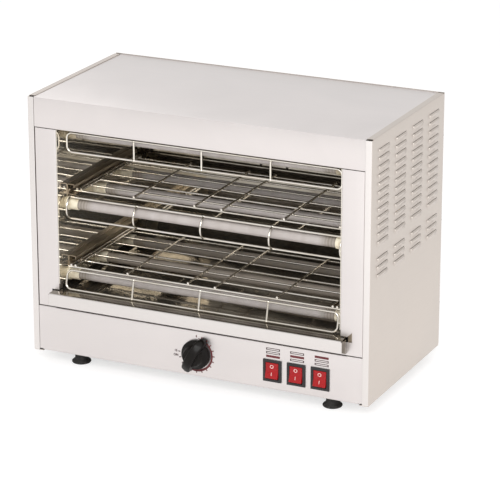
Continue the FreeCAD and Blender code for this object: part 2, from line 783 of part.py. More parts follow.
def timer():
    """Clockwork timer behind the control sheet, the nut on its bush, its shaft and the knob."""
    inner = "front_y + sheet_gauge"
    shaft_hole = rod("y", ("0", "front_y - bush_reach", "knob_z"),
                     "bush_reach + sheet_gauge + timer_depth / 2", "shaft_diameter + 2 * fit_clearance")
    keep("timer_body", without(joined([
        block(("-timer_width / 2", "timer_width / 2"), (inner, f"{inner} + timer_depth"),
              ("knob_z - timer_width / 2", "knob_z + timer_width / 2")),
        rod("y", ("0", "front_y - bush_reach", "knob_z"), "bush_reach + 2 * sheet_gauge", "bush_diameter"),
    ]), [shaft_hole]))
    keep("timer_nut", without(
        hexagon("y", ("0", "front_y - nut_depth", "knob_z"), "nut_depth", "nut_width"),
        [rod("y", ("0", "front_y - nut_depth", "knob_z"), "nut_depth", "bush_diameter + 2 * fit_clearance")]))
    shaft_start = ("0", "front_y - shaft_reach", "knob_z")
    flat = block(("-shaft_diameter", "shaft_diameter"), ("front_y - shaft_reach", "front_y - bush_reach"),
                 ("knob_z + shaft_diameter / 2 - shaft_flat", "knob_z + shaft_diameter"))
    keep("timer_shaft", without(
        rod("y", shaft_start, "shaft_reach + sheet_gauge + timer_depth / 2 - running_gap", "shaft_diameter"),
        [flat]))
    back = "front_y - knob_gap"
    skirt_front = f"{back} - knob_skirt_depth"
    hub = doc.addObject("Part::Cone", "Hub")
    hub.setExpression("Radius1", formula("knob_hub_diameter / 2"))
    hub.setExpression("Radius2", formula("knob_skirt_diameter / 2"))
    hub.setExpression("Height", formula("knob_hub_depth"))
    turned(hub, "y", ("0", f"{skirt_front} - knob_hub_depth", "knob_z"))
    body = joined([
        rod("y", ("0", skirt_front, "knob_z"), "knob_skirt_depth", "knob_skirt_diameter"),
        hub,
        drawn(knob_bar()),
    ])
    nut_room = rod("y", ("0", "front_y - bush_reach - running_gap", "knob_z"), "bush_reach + running_gap",
                   "nut_room")
    bore = rod("y", shaft_start, "shaft_reach", "shaft_diameter + fit_clearance")
    key = block(("-shaft_diameter", "shaft_diameter"), ("front_y - shaft_reach", "front_y"),
                ("knob_z + shaft_diameter / 2 - shaft_flat + fit_clearance / 2", "knob_z + shaft_diameter"))
    keep("timer_knob", without(body, [nut_room, without(bore, [key])]))


def knob_bar():
    """Grip bar of the knob: an arched fin across the skirt, turned so that it points at the scale's start."""
    half = size["knob_bar_length"] / 2
    back = place["front_y"] - size["knob_gap"]
    end = back - size["knob_bar_end"]
    front = place["front_y"] - size["knob_reach"]
    z = place["knob_z"]
    outline = [
        Part.makeLine(Vector(0, back, z - half), Vector(0, end, z - half)),
        Part.Arc(Vector(0, end, z - half), Vector(0, front, z), Vector(0, end, z + half)).toShape(),
        Part.makeLine(Vector(0, end, z + half), Vector(0, back, z + half)),
        Part.makeLine(Vector(0, back, z + half), Vector(0, back, z - half)),
    ]
    width = size["knob_bar_width"]
    bar = Part.Face(Part.Wire(outline)).extrude(Vector(width, 0, 0))
    bar.translate(Vector(-width / 2, 0, 0))
    bar.rotate(Vector(0, 0, z), Vector(0, 1, 0), size["knob_pointer"])
    return bar


def rocker_outline(middle_z, pivot_y, tilt):
    """Side outline of a rocker: two flat halves that meet in a shallow valley, and a round back."""
    half = place["well_half_height"] - size["rocker_gap"]
    waist = size["rocker_waist"]
    lift = math.tan(math.radians(size["rocker_tilt"])) * half
    depth = pivot_y - place["front_y"] + size["bezel_depth"] + size["rocker_proud"]
    points = [(-depth - lift, -half), (-depth, 0), (-depth - lift, half), (0, waist), (0, -waist)]
    turn = math.radians(tilt)
    outline = []
    for y, z in points:
        outline.append(Vector(0, pivot_y + y * math.cos(turn) - z * math.sin(turn),
                              middle_z + y * math.sin(turn) + z * math.cos(turn)))
    return outline


def switch(number):
    """Rocker switch: a housing with a bezel and four blades, and the rocker on its pivot in the well."""
    middle = f"(switch_last + ({number} - 2) * switch_pitch)"
    inner = "front_y + sheet_gauge"
    pieces = [
        block((f"{middle} - bezel_width / 2", f"{middle} + bezel_width / 2"),
              ("front_y - bezel_depth", "front_y"),
              ("switch_z - bezel_height / 2", "switch_z + bezel_height / 2")),
        block((f"{middle} - switch_width / 2", f"{middle} + switch_width / 2"),
              ("front_y - bezel_depth", "front_y + switch_depth"),
              ("switch_z - switch_height / 2", "switch_z + switch_height / 2")),
    ]
    for across in (-1, 1):
        for up in (-1, 1):
            pieces.append(block(
                (f"{middle} + {across} * switch_width / 4 - blade_gauge / 2",
                 f"{middle} + {across} * switch_width / 4 + blade_gauge / 2"),
                ("front_y + switch_depth - sheet_gauge", "front_y + switch_depth + blade_reach"),
                (f"switch_z + {up} * switch_height / 4 - blade_width / 2",
                 f"switch_z + {up} * switch_height / 4 + blade_width / 2")))
    well = block(
        (f"{middle} - well_half_width", f"{middle} + well_half_width"),
        ("front_y - bezel_depth", "front_y + rocker_well"),
        ("switch_z - well_half_height", "switch_z + well_half_height"))
    bearing = rod("x", (f"{middle} - switch_width / 2", "pivot_y", "switch_z"), "switch_width",
                  "pivot_diameter + 2 * fit_clearance")
    keep(f"switch_housing_{number + 1}", without(joined(pieces), [well, bearing]))
    outline = rocker_outline(place["switch_z"], place["pivot_y"], -size["rocker_tilt"])
    half = place["well_half_width"] - size["rocker_gap"]
    left = place["switch_last"] + (number - 2) * size["switch_pitch"] - half
    outline = [Vector(left, point.y, point.z) for point in outline]
    face = Part.Face(Part.makePolygon(outline + outline[:1]))
    pivot = rod("x", (f"{middle} - well_half_width - pivot_reach", "pivot_y", "switch_z"),
                "2 * (well_half_width + pivot_reach)", "pivot_diameter")
    keep(f"switch_rocker_{number + 1}", joined([drawn(face.extrude(Vector(2 * half, 0, 0))), pivot]))


def foot(name, x, y):
    """Rubber foot: a wide sole, a neck and a sunk seat for its screw."""
    keep(name, without(
        joined([rod("z", (x, y, "0"), "foot_flange", "foot_diameter"),
                rod("z", (x, y, "0"), "foot_height", "foot_neck")]),
        [rod("z", (x, y, "0"), "foot_recess", "screw_head + 2 * running_gap"),
         rod("z", (x, y, "0"), "foot_height", "screw_diameter + 2 * fit_clearance")]))


def fasteners():
    """Foot screws with nuts on the base, and the screws that hold the back panel."""
    pieces = []
    for _, x, y in foot_places():
        pieces.append(rod("z", (x, y, "foot_recess - screw_head_depth"), "screw_head_depth", "screw_head"))
        pieces.append(rod("z", (x, y, "foot_recess - screw_head_depth"),
                          "foot_height - foot_recess + screw_head_depth + 6 * sheet_gauge", "screw_diameter"))
        pieces.append(hexagon("z", (x, y, "floor_z + sheet_gauge"), "3 * sheet_gauge", "screw_head"))
    keep("foot_screws", joined(pieces))
    pieces = []
    for x, z in screw_places():
        pieces.append(rod("y", (x, "back_y", z), "screw_head_depth", "screw_head"))
        pieces.append(rod("y", (x, "back_y - screw_length", z), "screw_length", "screw_diameter"))
    keep("panel_screws", joined(pieces))


def supply():
    """Cable gland in the back panel, the terminal block on the base and the loom to the elements."""
    start = ("gland_x", "back_y - 8 * sheet_gauge", "gland_z")
    keep("cable_gland", without(joined([
        rod("y", start, "8 * sheet_gauge + gland_reach", "gland_thread"),
        hexagon("y", ("gland_x", "back_y", "gland_z"), "gland_reach / 2", "gland_nut_width"),
        hexagon("y", ("gland_x", "back_y - 5 * sheet_gauge", "gland_z"), "4 * sheet_gauge",
                "gland_nut_width"),
    ]), [rod("y", start, "8 * sheet_gauge + gland_reach", "gland_bore")]))
    keep("terminal_block", without(
        block(("gland_x - block_length / 2", "gland_x + block_length / 2"),
              ("back_y - block_setback - block_depth", "back_y - block_setback"),
              ("floor_z + sheet_gauge", "floor_z + sheet_gauge + block_height")),
        [rod("y", (f"gland_x + ({number} - 1) * block_pitch", "back_y - block_setback - block_depth",
                   "floor_z + sheet_gauge + block_hole_level"), "block_depth", "block_hole")
         for number in range(3)]))
    x_side = place["half_body"] - size["sheet_gauge"] - size["loom_diameter"] / 2 - size["running_gap"]
    y_loom = place["front_y"] + size["tube_setback"] + size["tube_pitch"] / 2
    z_low = place["floor_z"] + size["sheet_gauge"] + size["block_height"] + size["loom_diameter"]
    z_high = place["floor_z"] + size["element_level"] + 2 * size["element_rise"]
    x_inner = place["gland_x"] + size["block_length"] / 2
    bend = size["loom_bend"]
    middle = Vector(x_side - bend, y_loom, z_low + bend)
    quarter = Vector(math.cos(math.pi / 4), 0, -math.sin(math.pi / 4)) * bend
    path = [
        Part.makeLine(Vector(x_side, y_loom, z_high), Vector(x_side, y_loom, z_low + bend)),
        Part.Arc(Vector(x_side, y_loom, z_low + bend), middle + quarter,
                 Vector(x_side - bend, y_loom, z_low)).toShape(),
        Part.makeLine(Vector(x_side - bend, y_loom, z_low), Vector(x_inner, y_loom, z_low)),
    ]
    keep("wiring_loom", drawn(round_wire(path, size["loom_diameter"])))


for side_name, side in SIDES.items():
    side_panel(f"side_panel_{side_name}", side)
    cavity_wall(f"cavity_wall_{side_name}", side)
    tray_runner(f"tray_runner_{side_name}", side)
    rack_rail(f"rack_rail_upper_{side_name}", side, "rack_upper_level")
    rack_rail(f"rack_rail_lower_{side_name}", side, "rack_lower_level")
    bus_strips(f"bus_strips_{side_name}", side)
top_panel()
front_frame()
control_panel()
base_panel()
rear_panel()
cavity_shell()
crumb_tray()
rack("rack_upper", "rack_upper_setback", "rack_upper_level")
rack("rack_lower", "rack_lower_setback", "rack_lower_level")
guard("guard_top", size["guard_top_setback"], size["guard_top_level"], size["guard_top_height"], 0)
bowed_guard("guard_middle")
guard("guard_bottom", size["guard_bottom_setback"], size["guard_bottom_level"],
      size["guard_bottom_height"], size["guard_bottom_lean"])
for level_name, level_number in LEVELS.items():
    for row_number, row_name in enumerate(("front", "middle", "rear")):
        tube(f"quartz_tube_{level_name}_{row_name}", level_number, row_number)
    tube_caps(f"ceramic_caps_{level_name}", level_number)
    heating_coils(f"heating_coils_{level_name}", level_number)
timer()
for number in range(3):
    switch(number)
for foot_name, x, y in foot_places():
    foot(f"foot_{foot_name}", x, y)
fasteners()
supply()

doc.recompute()
faulty = [item.Label for item in doc.Objects if {"Invalid", "Error"} & set(item.State)]
faulty += [item.Label for item in nodes if item.Shape.isNull() or not item.Shape.isValid()]
if faulty:
    raise RuntimeError("not sound: " + ", ".join(sorted(set(faulty))))

os.makedirs("parts", exist_ok=True)
for item in nodes:
    item.Shape.exportStep(os.path.join("parts", item.Label + ".step"))
print(len(nodes), "sub-parts written")
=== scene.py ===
import math

import bmesh
import bpy
from mathutils import Matrix, Vector


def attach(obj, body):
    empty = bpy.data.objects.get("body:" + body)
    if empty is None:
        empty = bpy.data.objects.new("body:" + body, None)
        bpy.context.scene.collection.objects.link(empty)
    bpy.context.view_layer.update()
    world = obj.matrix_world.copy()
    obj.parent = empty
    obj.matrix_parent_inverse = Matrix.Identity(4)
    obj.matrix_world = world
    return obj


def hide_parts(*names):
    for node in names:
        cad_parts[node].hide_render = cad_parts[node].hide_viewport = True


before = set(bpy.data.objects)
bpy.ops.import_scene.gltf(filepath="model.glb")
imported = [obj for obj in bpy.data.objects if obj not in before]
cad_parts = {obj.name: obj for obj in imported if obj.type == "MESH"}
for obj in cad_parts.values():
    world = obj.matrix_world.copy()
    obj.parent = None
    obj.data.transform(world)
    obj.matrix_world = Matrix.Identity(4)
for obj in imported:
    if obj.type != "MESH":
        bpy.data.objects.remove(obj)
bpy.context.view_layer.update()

scene = bpy.context.scene
scene.view_settings.view_transform = "Standard"

# The view: a long lens, to the right of the toaster and a little above its top.
camera_data = bpy.data.cameras.new("photo_camera")
camera_data.lens = 189.9
camera_data.sensor_width = 36.0
camera_data.clip_end = 50.0
camera = bpy.data.objects.new("photo_camera", camera_data)
camera.location = (1.4709, -3.0745, 1.324)
camera.rotation_euler = (math.radians(90 - 18.85), 0.0, math.radians(25.23))
scene.collection.objects.link(camera)
scene.camera = camera


# Studio: a sheet of matt white paper runs out of view under the toaster, in a pale room that metal
# reflects. Three soft boxes light it from the front, the right and above, so its shadow stays faint.
def colour(hex_value):
    """An sRGB hex value as a linear colour."""
    parts = [int(hex_value[i:i + 2], 16) / 255 for i in (1, 3, 5)]
    return tuple(p / 12.92 if p <= 0.04045 else ((p + 0.055) / 1.055) ** 2.4 for p in parts) + (1.0,)


def add(tree, kind, settings=None, **inputs):
    """A node with its settings, and each input given a value or linked to a socket."""
    node = tree.nodes.new(kind)
    for name, value in (settings or {}).items():
        setattr(node, name, value)
    for name, value in inputs.items():
        socket = node.inputs[int(name[1:])] if name[1:].isdigit() else node.inputs[name.replace("_", " ")]
        if isinstance(value, bpy.types.NodeSocket):
            tree.links.new(value, socket)
        else:
            socket.default_value = value
    return node


def material(name, hex_value, roughness, metallic=0.0):
    """A new node material with its plain values, its tree, and its shader."""
    made = bpy.data.materials.new(name)
    made.use_nodes = True
    shader = made.node_tree.nodes["Principled BSDF"]
    shader.inputs["Base Color"].default_value = colour(hex_value)
    shader.inputs["Roughness"].default_value = roughness
    shader.inputs["Metallic"].default_value = metallic
    return made, made.node_tree, shader


paper, tree, shader = material("matt_white_paper", "#F6F4F3", 0.9)
place = add(tree, "ShaderNodeTexCoord")
split = add(tree, "ShaderNodeSeparateXYZ", Vector=place.outputs["Object"])
# Glossy rays see the paper's glow only outside the toaster's footprint. Under the body it is left out: painted shade in
# the reflections of the lower bends and feet.
sideways = add(tree, "ShaderNodeMath", {"operation": "ABSOLUTE"}, i0=split.outputs["X"])
beside = add(tree, "ShaderNodeMapRange", Value=sideways.outputs[0], From_Min=0.235, From_Max=0.26)
lengthways = add(tree, "ShaderNodeMath", {"operation": "ABSOLUTE"}, i0=split.outputs["Y"])
before = add(tree, "ShaderNodeMapRange", Value=lengthways.outputs[0], From_Min=0.105, From_Max=0.135)
outside_painted_shade = add(tree, "ShaderNodeMath", {"operation": "MAXIMUM"}, i0=beside.outputs[0], i1=before.outputs[0])
view = add(tree, "ShaderNodeLightPath")
mirrored = add(tree, "ShaderNodeMath", {"operation": "MULTIPLY"}, i0=view.outputs["Is Glossy Ray"],
               i1=outside_painted_shade.outputs[0])
seen = add(tree, "ShaderNodeMath", {"operation": "MAXIMUM"}, i0=view.outputs["Is Camera Ray"],
           i1=view.outputs["Is Transmission Ray"])
seen = add(tree, "ShaderNodeMath", {"operation": "MAXIMUM"}, i0=seen.outputs[0], i1=mirrored.outputs[0])
share = add(tree, "ShaderNodeMath", {"operation": "MULTIPLY"}, i0=seen.outputs[0], i1=0.5)
# The glow is painted stronger in front of the toaster and towards its right: a painted pool of light, which the front
# of the casing reflects as a brighter gradient.
rightward = add(tree, "ShaderNodeMapRange", Value=split.outputs["X"], From_Min=-0.9, From_Max=0.1)
forward = add(tree, "ShaderNodeMapRange", Value=split.outputs["Y"], From_Min=-0.4, From_Max=-1.2)
painted_light_pool = add(tree, "ShaderNodeMath", {"operation": "MULTIPLY"}, i0=rightward.outputs[0], i1=forward.outputs[0])
painted_light_pool = add(tree, "ShaderNodeMapRange", Value=painted_light_pool.outputs[0], To_Min=1.34, To_Max=1.8)
glow = add(tree, "ShaderNodeEmission", Color=colour("#FFFFFF"), Strength=painted_light_pool.outputs[0])
sheet = add(tree, "ShaderNodeMixShader", i0=share.outputs[0], i1=shader.outputs[0], i2=glow.outputs[0])
tree.links.new(sheet.outputs[0], tree.nodes["Material Output"].inputs["Surface"])
floor_shape = bmesh.new()
bmesh.ops.create_grid(floor_shape, x_segments=1, y_segments=1, size=6.0)
floor_mesh = bpy.data.meshes.new("floor")
floor_shape.to_mesh(floor_mesh)
floor_shape.free()
floor_mesh.materials.append(paper)
floor = bpy.data.objects.new("floor", floor_mesh)
scene.collection.objects.link(floor)

world = bpy.data.worlds.new("pale_room")
scene.world = world
world.use_nodes = True
tree = world.node_tree
view = add(tree, "ShaderNodeLightPath")
glossy = add(tree, "ShaderNodeMath", {"operation": "MULTIPLY"}, i0=view.outputs["Is Glossy Ray"], i1=0.74)
seen = add(tree, "ShaderNodeMath", {"operation": "MAXIMUM"}, i0=view.outputs["Is Camera Ray"],
           i1=view.outputs["Is Transmission Ray"])
seen = add(tree, "ShaderNodeMath", {"operation": "MAXIMUM"}, i0=seen.outputs[0], i1=glossy.outputs[0])
level = add(tree, "ShaderNodeMix", {"data_type": "FLOAT"}, i0=seen.outputs[0], i2=0.6, i3=1.0)
room = tree.nodes["Background"]
room.inputs["Color"].default_value = colour("#FFFFFF")
tree.links.new(level.outputs[0], room.inputs["Strength"])


def soft_box(name, place, width, height, power):
    """A rectangular lamp that faces the toaster."""
    lamp = bpy.data.lights.new(name, "AREA")
    lamp.shape = "RECTANGLE"
    lamp.size = width
    lamp.size_y = height
    lamp.energy = power
    box = bpy.data.objects.new(name, lamp)
    box.location = place
    box.rotation_euler = (Vector((0.0, 0.0, 0.2)) - Vector(place)).to_track_quat("-Z", "Y").to_euler()
    scene.collection.objects.link(box)


soft_box("front_box", (0.8, -2.5, 2.0), 1.8, 1.4, 58.0)
soft_box("right_box", (2.6, -0.2, 1.2), 1.6, 1.6, 14.0)
soft_box("top_box", (-1.4, 1.0, 2.2), 1.6, 1.6, 6.0)


# Side panels: 1 mm satin stainless sheets with all four edges folded in. Their louvres are the sheet
# itself, slit along the top and pushed out by a die, with the lip of each slit curled back in.
def piece(name, shape, finish, body="casing", nodes=(), smooth=35):
    """Make a shape in millimetres an object on a body, smooth except at its sharp edges, hiding the solids it replaces.
    """
    bmesh.ops.scale(shape, vec=(0.001, 0.001, 0.001), verts=shape.verts)
    mesh = bpy.data.meshes.new(name)
    shape.to_mesh(mesh)
    shape.free()
    mesh.materials.append(finish)
    mesh.shade_smooth()
    mesh.set_sharp_from_angle(angle=math.radians(smooth))
    made = bpy.data.objects.new(name, mesh)
    scene.collection.objects.link(made)
    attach(made, body)
    if nodes:
        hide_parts(*nodes)
    return made


def flat_sheet(corners):
    """One flat face through its corners."""
    sheet = bmesh.new()
    sheet.faces.new([sheet.verts.new(corner) for corner in corners])
    return sheet


def cut(sheet, normal, places):
    """Divide a sheet along planes square to an axis."""
    for place in places:
        bmesh.ops.bisect_plane(sheet, geom=sheet.verts[:] + sheet.edges[:] + sheet.faces[:],
                               plane_co=Vector(normal) * place, plane_no=normal, dist=0.0001)


def edges_where(sheet, test):
    """The edges whose both ends pass a test."""
    return [edge for edge in sheet.edges if all(test(vert.co) for vert in edge.verts)]


def near(value, place):
    """Whether a coordinate is at a place."""
    return abs(value - place) < 0.01


def fold(sheet, edges, out, into, radius, flange):
    """Bend a free edge that faces out round a radius, and carry it on as a flange of a total depth."""
    out, into = Vector(out), Vector(into)
    turned = bmesh.ops.spin(sheet, geom=edges, cent=edges[0].verts[0].co + into * radius,
                            axis=out.cross(into), angle=math.pi / 2, steps=4)
    last = [part for part in turned["geom_last"] if isinstance(part, bmesh.types.BMEdge)]
    grown = bmesh.ops.extrude_edge_only(sheet, edges=last)["geom"]
    ends = {part for part in grown if isinstance(part, bmesh.types.BMVert)}
    bmesh.ops.translate(sheet, verts=list(ends), vec=into * (flange - radius))
    return [edge for edge in sheet.edges if set(edge.verts) <= ends]


def thicken(sheet, main, gauge=1.0):
    """Give a folded sheet its gauge, inwards from the side that its largest face shows."""
    bmesh.ops.recalc_face_normals(sheet, faces=sheet.faces)
    if max(sheet.faces, key=lambda face: face.calc_area()).normal.dot(Vector(main)) < 0:
        bmesh.ops.reverse_faces(sheet, faces=sheet.faces)
    bmesh.ops.solidify(sheet, geom=sheet.faces[:], thickness=gauge)
    bmesh.ops.recalc_face_normals(sheet, faces=sheet.faces)
    return sheet


def steel(name, hex_value, roughness, grain_axis, grain_pitch, relief_depth, spread, stain=None):
    """Stainless sheet or wire: grinding lines along one axis, wiped patches and, when heated, a stain."""
    made, tree, shader = material(name, hex_value, roughness, 1.0)
    place = add(tree, "ShaderNodeTexCoord")
    stretch = [1 / grain_pitch] * 3
    stretch[grain_axis] = 1 / (grain_pitch * 60)
    lines = add(tree, "ShaderNodeMapping", Vector=place.outputs["Object"], Scale=stretch)
    grain = add(tree, "ShaderNodeTexNoise", Vector=lines.outputs[0], Scale=1.0, Detail=3.0, Roughness=0.6)
    wiped = add(tree, "ShaderNodeTexNoise", Vector=place.outputs["Object"], Scale=7.0, Detail=3.0,
                Distortion=0.8)
    both = add(tree, "ShaderNodeMath", {"operation": "MULTIPLY_ADD"}, i0=wiped.outputs[0], i1=0.7,
               i2=grain.outputs[0])
    rough = add(tree, "ShaderNodeMapRange", Value=both.outputs[0], From_Min=0.5, From_Max=1.2,
                To_Min=roughness - spread, To_Max=roughness + spread)
    tone = add(tree, "ShaderNodeMapRange", Value=wiped.outputs[0], From_Min=0.3, From_Max=0.7,
               To_Min=0.95, To_Max=1.0)
    base = add(tree, "ShaderNodeMix", {"data_type": "RGBA", "blend_type": "MULTIPLY"}, i0=1.0,
               i6=colour(hex_value), i7=tone.outputs[0])
    if stain:
        cloud = add(tree, "ShaderNodeTexNoise", Vector=place.outputs["Object"], Scale=16.0, Detail=4.0,
                    Roughness=0.65)
        heat = add(tree, "ShaderNodeMapRange", Value=cloud.outputs[0], From_Min=0.38, From_Max=0.68)
        base = add(tree, "ShaderNodeMix", {"data_type": "RGBA"}, i0=heat.outputs[0], i6=base.outputs[2],
                   i7=colour(stain))
    relief = add(tree, "ShaderNodeBump", Strength=0.25, Distance=relief_depth, Height=grain.outputs[0])
    tree.links.new(base.outputs[2], shader.inputs["Base Color"])
    tree.links.new(rough.outputs[0], shader.inputs["Roughness"])
    tree.links.new(relief.outputs[0], shader.inputs["Normal"])
    return made


# Satin stainless: fine lengthwise grinding gives soft, wide reflections that follow the light.
# Real grinding lines are under 0.1 mm apart, so they are drawn 0.9 mm apart to show at all.
# The side sheets take a darker, warmer base than the front and top sheets of the same stainless: painted shade on the
# sides.
satin_side_painted_shade = steel("satin_stainless_upright", "#CFC6BE", 0.36, 1, 0.0009, 0.00002, 0.05)
half_width, front_y, back_y, floor_z, top_z = 250.0, -121.0, 131.0, 20.0, 380.0
bend, proud, panel_foot = 1.2, 0.5, 17.0
tree = satin_side_painted_shade.node_tree
shader = tree.nodes["Principled BSDF"]
ground = shader.inputs["Base Color"].links[0].from_socket
place = add(tree, "ShaderNodeTexCoord")
split = add(tree, "ShaderNodeSeparateXYZ", Vector=place.outputs["Object"])
# Round the front fold the side sheet turns to the front sheet's lighter colour: painted light on the forward-facing
# flange.
past_fold = add(tree, "ShaderNodeMapRange", Value=split.outputs["Y"], From_Min=-0.1215, From_Max=-0.1208)
painted_light_front_flange = add(tree, "ShaderNodeMix", {"data_type": "RGBA"}, i0=past_fold.outputs[0], i6=colour("#E2DDDA"),
                  i7=ground)
tree.links.new(painted_light_front_flange.outputs[2], shader.inputs["Base Color"])
louvre_length, louvre_height, louvre_bulge, louvre_slit = 36.0, 8.0, 2.6, 0.4
louvre_starts = [5.0 + column * 58.0 - louvre_length / 2 for column in (-1.5, -0.5, 0.5, 1.5)]
louvre_feet = [top_z - 17.0 - row * 11.3 - louvre_height for row in (*range(12), 13, 14, 15)]


def louvred_panel(side):
    """One side panel, drawn flat, slit and pressed, and then folded and thickened."""
    x, out = side * half_width, Vector((side, 0, 0))
    front = front_y - proud + bend
    panel = flat_sheet([(x, front, panel_foot + bend), (x, back_y - 1 - bend, panel_foot + bend),
                        (x, back_y - 1 - bend, top_z - bend), (x, front, top_z - bend)])
    cut(panel, (0, 1, 0), (front + 4.0, back_y - 5 - bend))
    cut(panel, (0, 1, 0), [start + step for start in louvre_starts
                           for step in (-0.7, 0, 1.2, 3.6, louvre_length - 3.6, louvre_length - 1.2,
                                        louvre_length, louvre_length + 0.7)])
    cut(panel, (0, 0, 1), [foot + step for foot in louvre_feet
                           for step in (-0.7, 0, 2.0, 4.4, 6.4, louvre_height - louvre_slit, louvre_height,
                                        louvre_height + 0.7)])
    slits = [face for face in panel.faces
             for centre in [face.calc_center_median()]
             if any(0 < centre.y - start < louvre_length for start in louvre_starts)
             and any(louvre_height - louvre_slit < centre.z - foot < louvre_height for foot in louvre_feet)]
    bmesh.ops.delete(panel, geom=slits, context="FACES")
    rise = louvre_height - louvre_slit
    for vert in panel.verts:
        for start in louvre_starts:
            inset = min(vert.co.y - start, start + louvre_length - vert.co.y)
            for foot in louvre_feet:
                height = vert.co.z - foot
                if inset > 0.5 and 0.5 < height < rise + 0.01:
                    dome = math.sin(min(inset / 4.0, 1.0) * math.pi / 2)
                    lip = 0.12 if near(height, rise) else math.sin(height / 6.4 * math.pi / 2)
                    vert.co += out * louvre_bulge * dome * lip
                    break
    edges = {name: edges_where(panel, test) for name, test in (
        ("front", lambda at: near(at.y, front)), ("back", lambda at: near(at.y, back_y - 1 - bend)),
        ("top", lambda at: near(at.z, top_z - bend) and front + 3.9 < at.y < back_y - 4.9 - bend),
        ("foot", lambda at: near(at.z, panel_foot + bend)))}
    for name, edge_out, flange in (("front", (0, -1, 0), 9.0), ("back", (0, 1, 0), 9.0),
                                   ("top", (0, 0, 1), 9.0), ("foot", (0, 0, -1), 14.0)):
        fold(panel, edges[name], edge_out, -out, bend, flange)
    return thicken(panel, out)


for side, side_name in ((-1, "left"), (1, "right")):
    piece(f"louvred_side_{side_name}", louvred_panel(side), satin_side_painted_shade,
          nodes=[f"side_panel_{side_name}"], smooth=50)


# Top panel: one satin stainless sheet that turns down at the front into the fascia over the opening,
# with a small return under it, and turns down behind where the back panel is screwed on.
top_bend = 0.8
satin_front = steel("satin_stainless_lengthwise", "#DED8D6", 0.34, 0, 0.0009, 0.00002, 0.05)
half_front, sheet_top = 240.7, top_z - 0.8
top_sheet = flat_sheet([(-half_front, front_y + top_bend, sheet_top), (half_front, front_y + top_bend, sheet_top),
                        (half_front, back_y - 1 - bend, sheet_top), (-half_front, back_y - 1 - bend, sheet_top)])
front_edges = edges_where(top_sheet, lambda at: near(at.y, front_y + top_bend))
back_edges = edges_where(top_sheet, lambda at: near(at.y, back_y - 1 - bend))
fascia_foot = fold(top_sheet, front_edges, (0, -1, 0), (0, 0, -1), top_bend, 40.6)
fold(top_sheet, fascia_foot, (0, 0, -1), (0, 1, 0), 1.0, 8.0)
fold(top_sheet, back_edges, (0, 1, 0), (0, 0, -1), bend, 15.0)
piece("folded_top_and_fascia", thicken(top_sheet, (0, 0, 1)), satin_front,
      nodes=["top_panel"], smooth=50)


# Front frame: a satin stainless sheet with the opening and the tray's slot cut out of it. The posts'
# outer and inner edges are folded back, which hides the raw edge of the chamber's walls.
half_opening, half_slot = 208.5, 219.2
frame_foot, slot_floor, slot_roof, fascia_z = 84.9, 103.0, 110.3, 337.0
notch_side, notch_roof = 225.5, 117.0
edge_bend = 1.5
frame_sheet = flat_sheet([(-half_front + edge_bend, front_y, frame_foot), (half_front - edge_bend, front_y, frame_foot),
                          (half_front - edge_bend, front_y, fascia_z), (-half_front + edge_bend, front_y, fascia_z)])
post_inner = half_opening + edge_bend
cut(frame_sheet, (1, 0, 0), (-half_slot, -post_inner, post_inner, half_slot, notch_side))
cut(frame_sheet, (0, 0, 1), (slot_floor, slot_roof, notch_roof))
slant = [vert for vert in frame_sheet.verts for x, z in ((half_slot, slot_roof), (notch_side, notch_roof))
         if near(vert.co.x, x) and near(vert.co.z, z)]
bmesh.ops.connect_verts(frame_sheet, verts=slant)
gaps = [face for face in frame_sheet.faces for centre in [face.calc_center_median()]
        if abs(centre.x) < half_slot and slot_floor < centre.z < slot_roof
        or abs(centre.x) < post_inner and centre.z > slot_roof
        or half_slot < centre.x < notch_side and slot_floor < centre.z < slot_roof + centre.x - half_slot]
bmesh.ops.delete(frame_sheet, geom=gaps, context="FACES")
for side in (-1, 1):
    outer = edges_where(frame_sheet, lambda at: near(at.x, side * (half_front - edge_bend)))
    inner = edges_where(frame_sheet, lambda at: near(at.x, side * post_inner) and at.z > slot_roof - 0.01)
    fold(frame_sheet, outer, (side, 0, 0), (0, 1, 0), edge_bend, 10.0)
    fold(frame_sheet, inner, (-side, 0, 0), (0, 1, 0), edge_bend, 10.0)
piece("front_posts_and_strip", thicken(frame_sheet, (0, -1, 0)), satin_front,
      nodes=["front_frame"], smooth=50)


# Control panel: a satin stainless sheet folded back along its top and bottom, with square holes for
# the rocker switches. Its dial and the signs over the switches are screen-printed in two inks.
control_top, control_foot = 83.6, 18.7
switch_places, switch_z, knob_z = (112.0, 146.5, 181.0), 45.3, 50.6
control_sheet = flat_sheet([(-half_front, front_y, control_foot + edge_bend), (half_front, front_y, control_foot + edge_bend),
                            (half_front, front_y, control_top - edge_bend), (-half_front, front_y, control_top - edge_bend)])
cut(control_sheet, (1, 0, 0), [x + step for x in switch_places for step in (-11.3, 11.3)] + [-235.5, 235.5])
cut(control_sheet, (0, 0, 1), (switch_z - 13.8, switch_z + 13.8))
holes = [face for face in control_sheet.faces for centre in [face.calc_center_median()]
         if abs(centre.z - switch_z) < 13 and any(abs(centre.x - x) < 11 for x in switch_places)]
bmesh.ops.delete(control_sheet, geom=holes, context="FACES")
fold(control_sheet, edges_where(control_sheet, lambda at: near(at.z, control_top - edge_bend)),
     (0, 0, 1), (0, 1, 0), edge_bend, 10.0)
fold(control_sheet, edges_where(control_sheet, lambda at: near(at.z, control_foot + edge_bend) and abs(at.x) < 236),
     (0, 0, -1), (0, 1, 0), edge_bend, 10.0)
piece("folded_control_panel", thicken(control_sheet, (0, -1, 0)), satin_front,
      nodes=["control_panel"], smooth=50)

# Screen ink: a thin matt film, slightly uneven where the mesh of the screen let less through.
print_y = front_y - 0.05


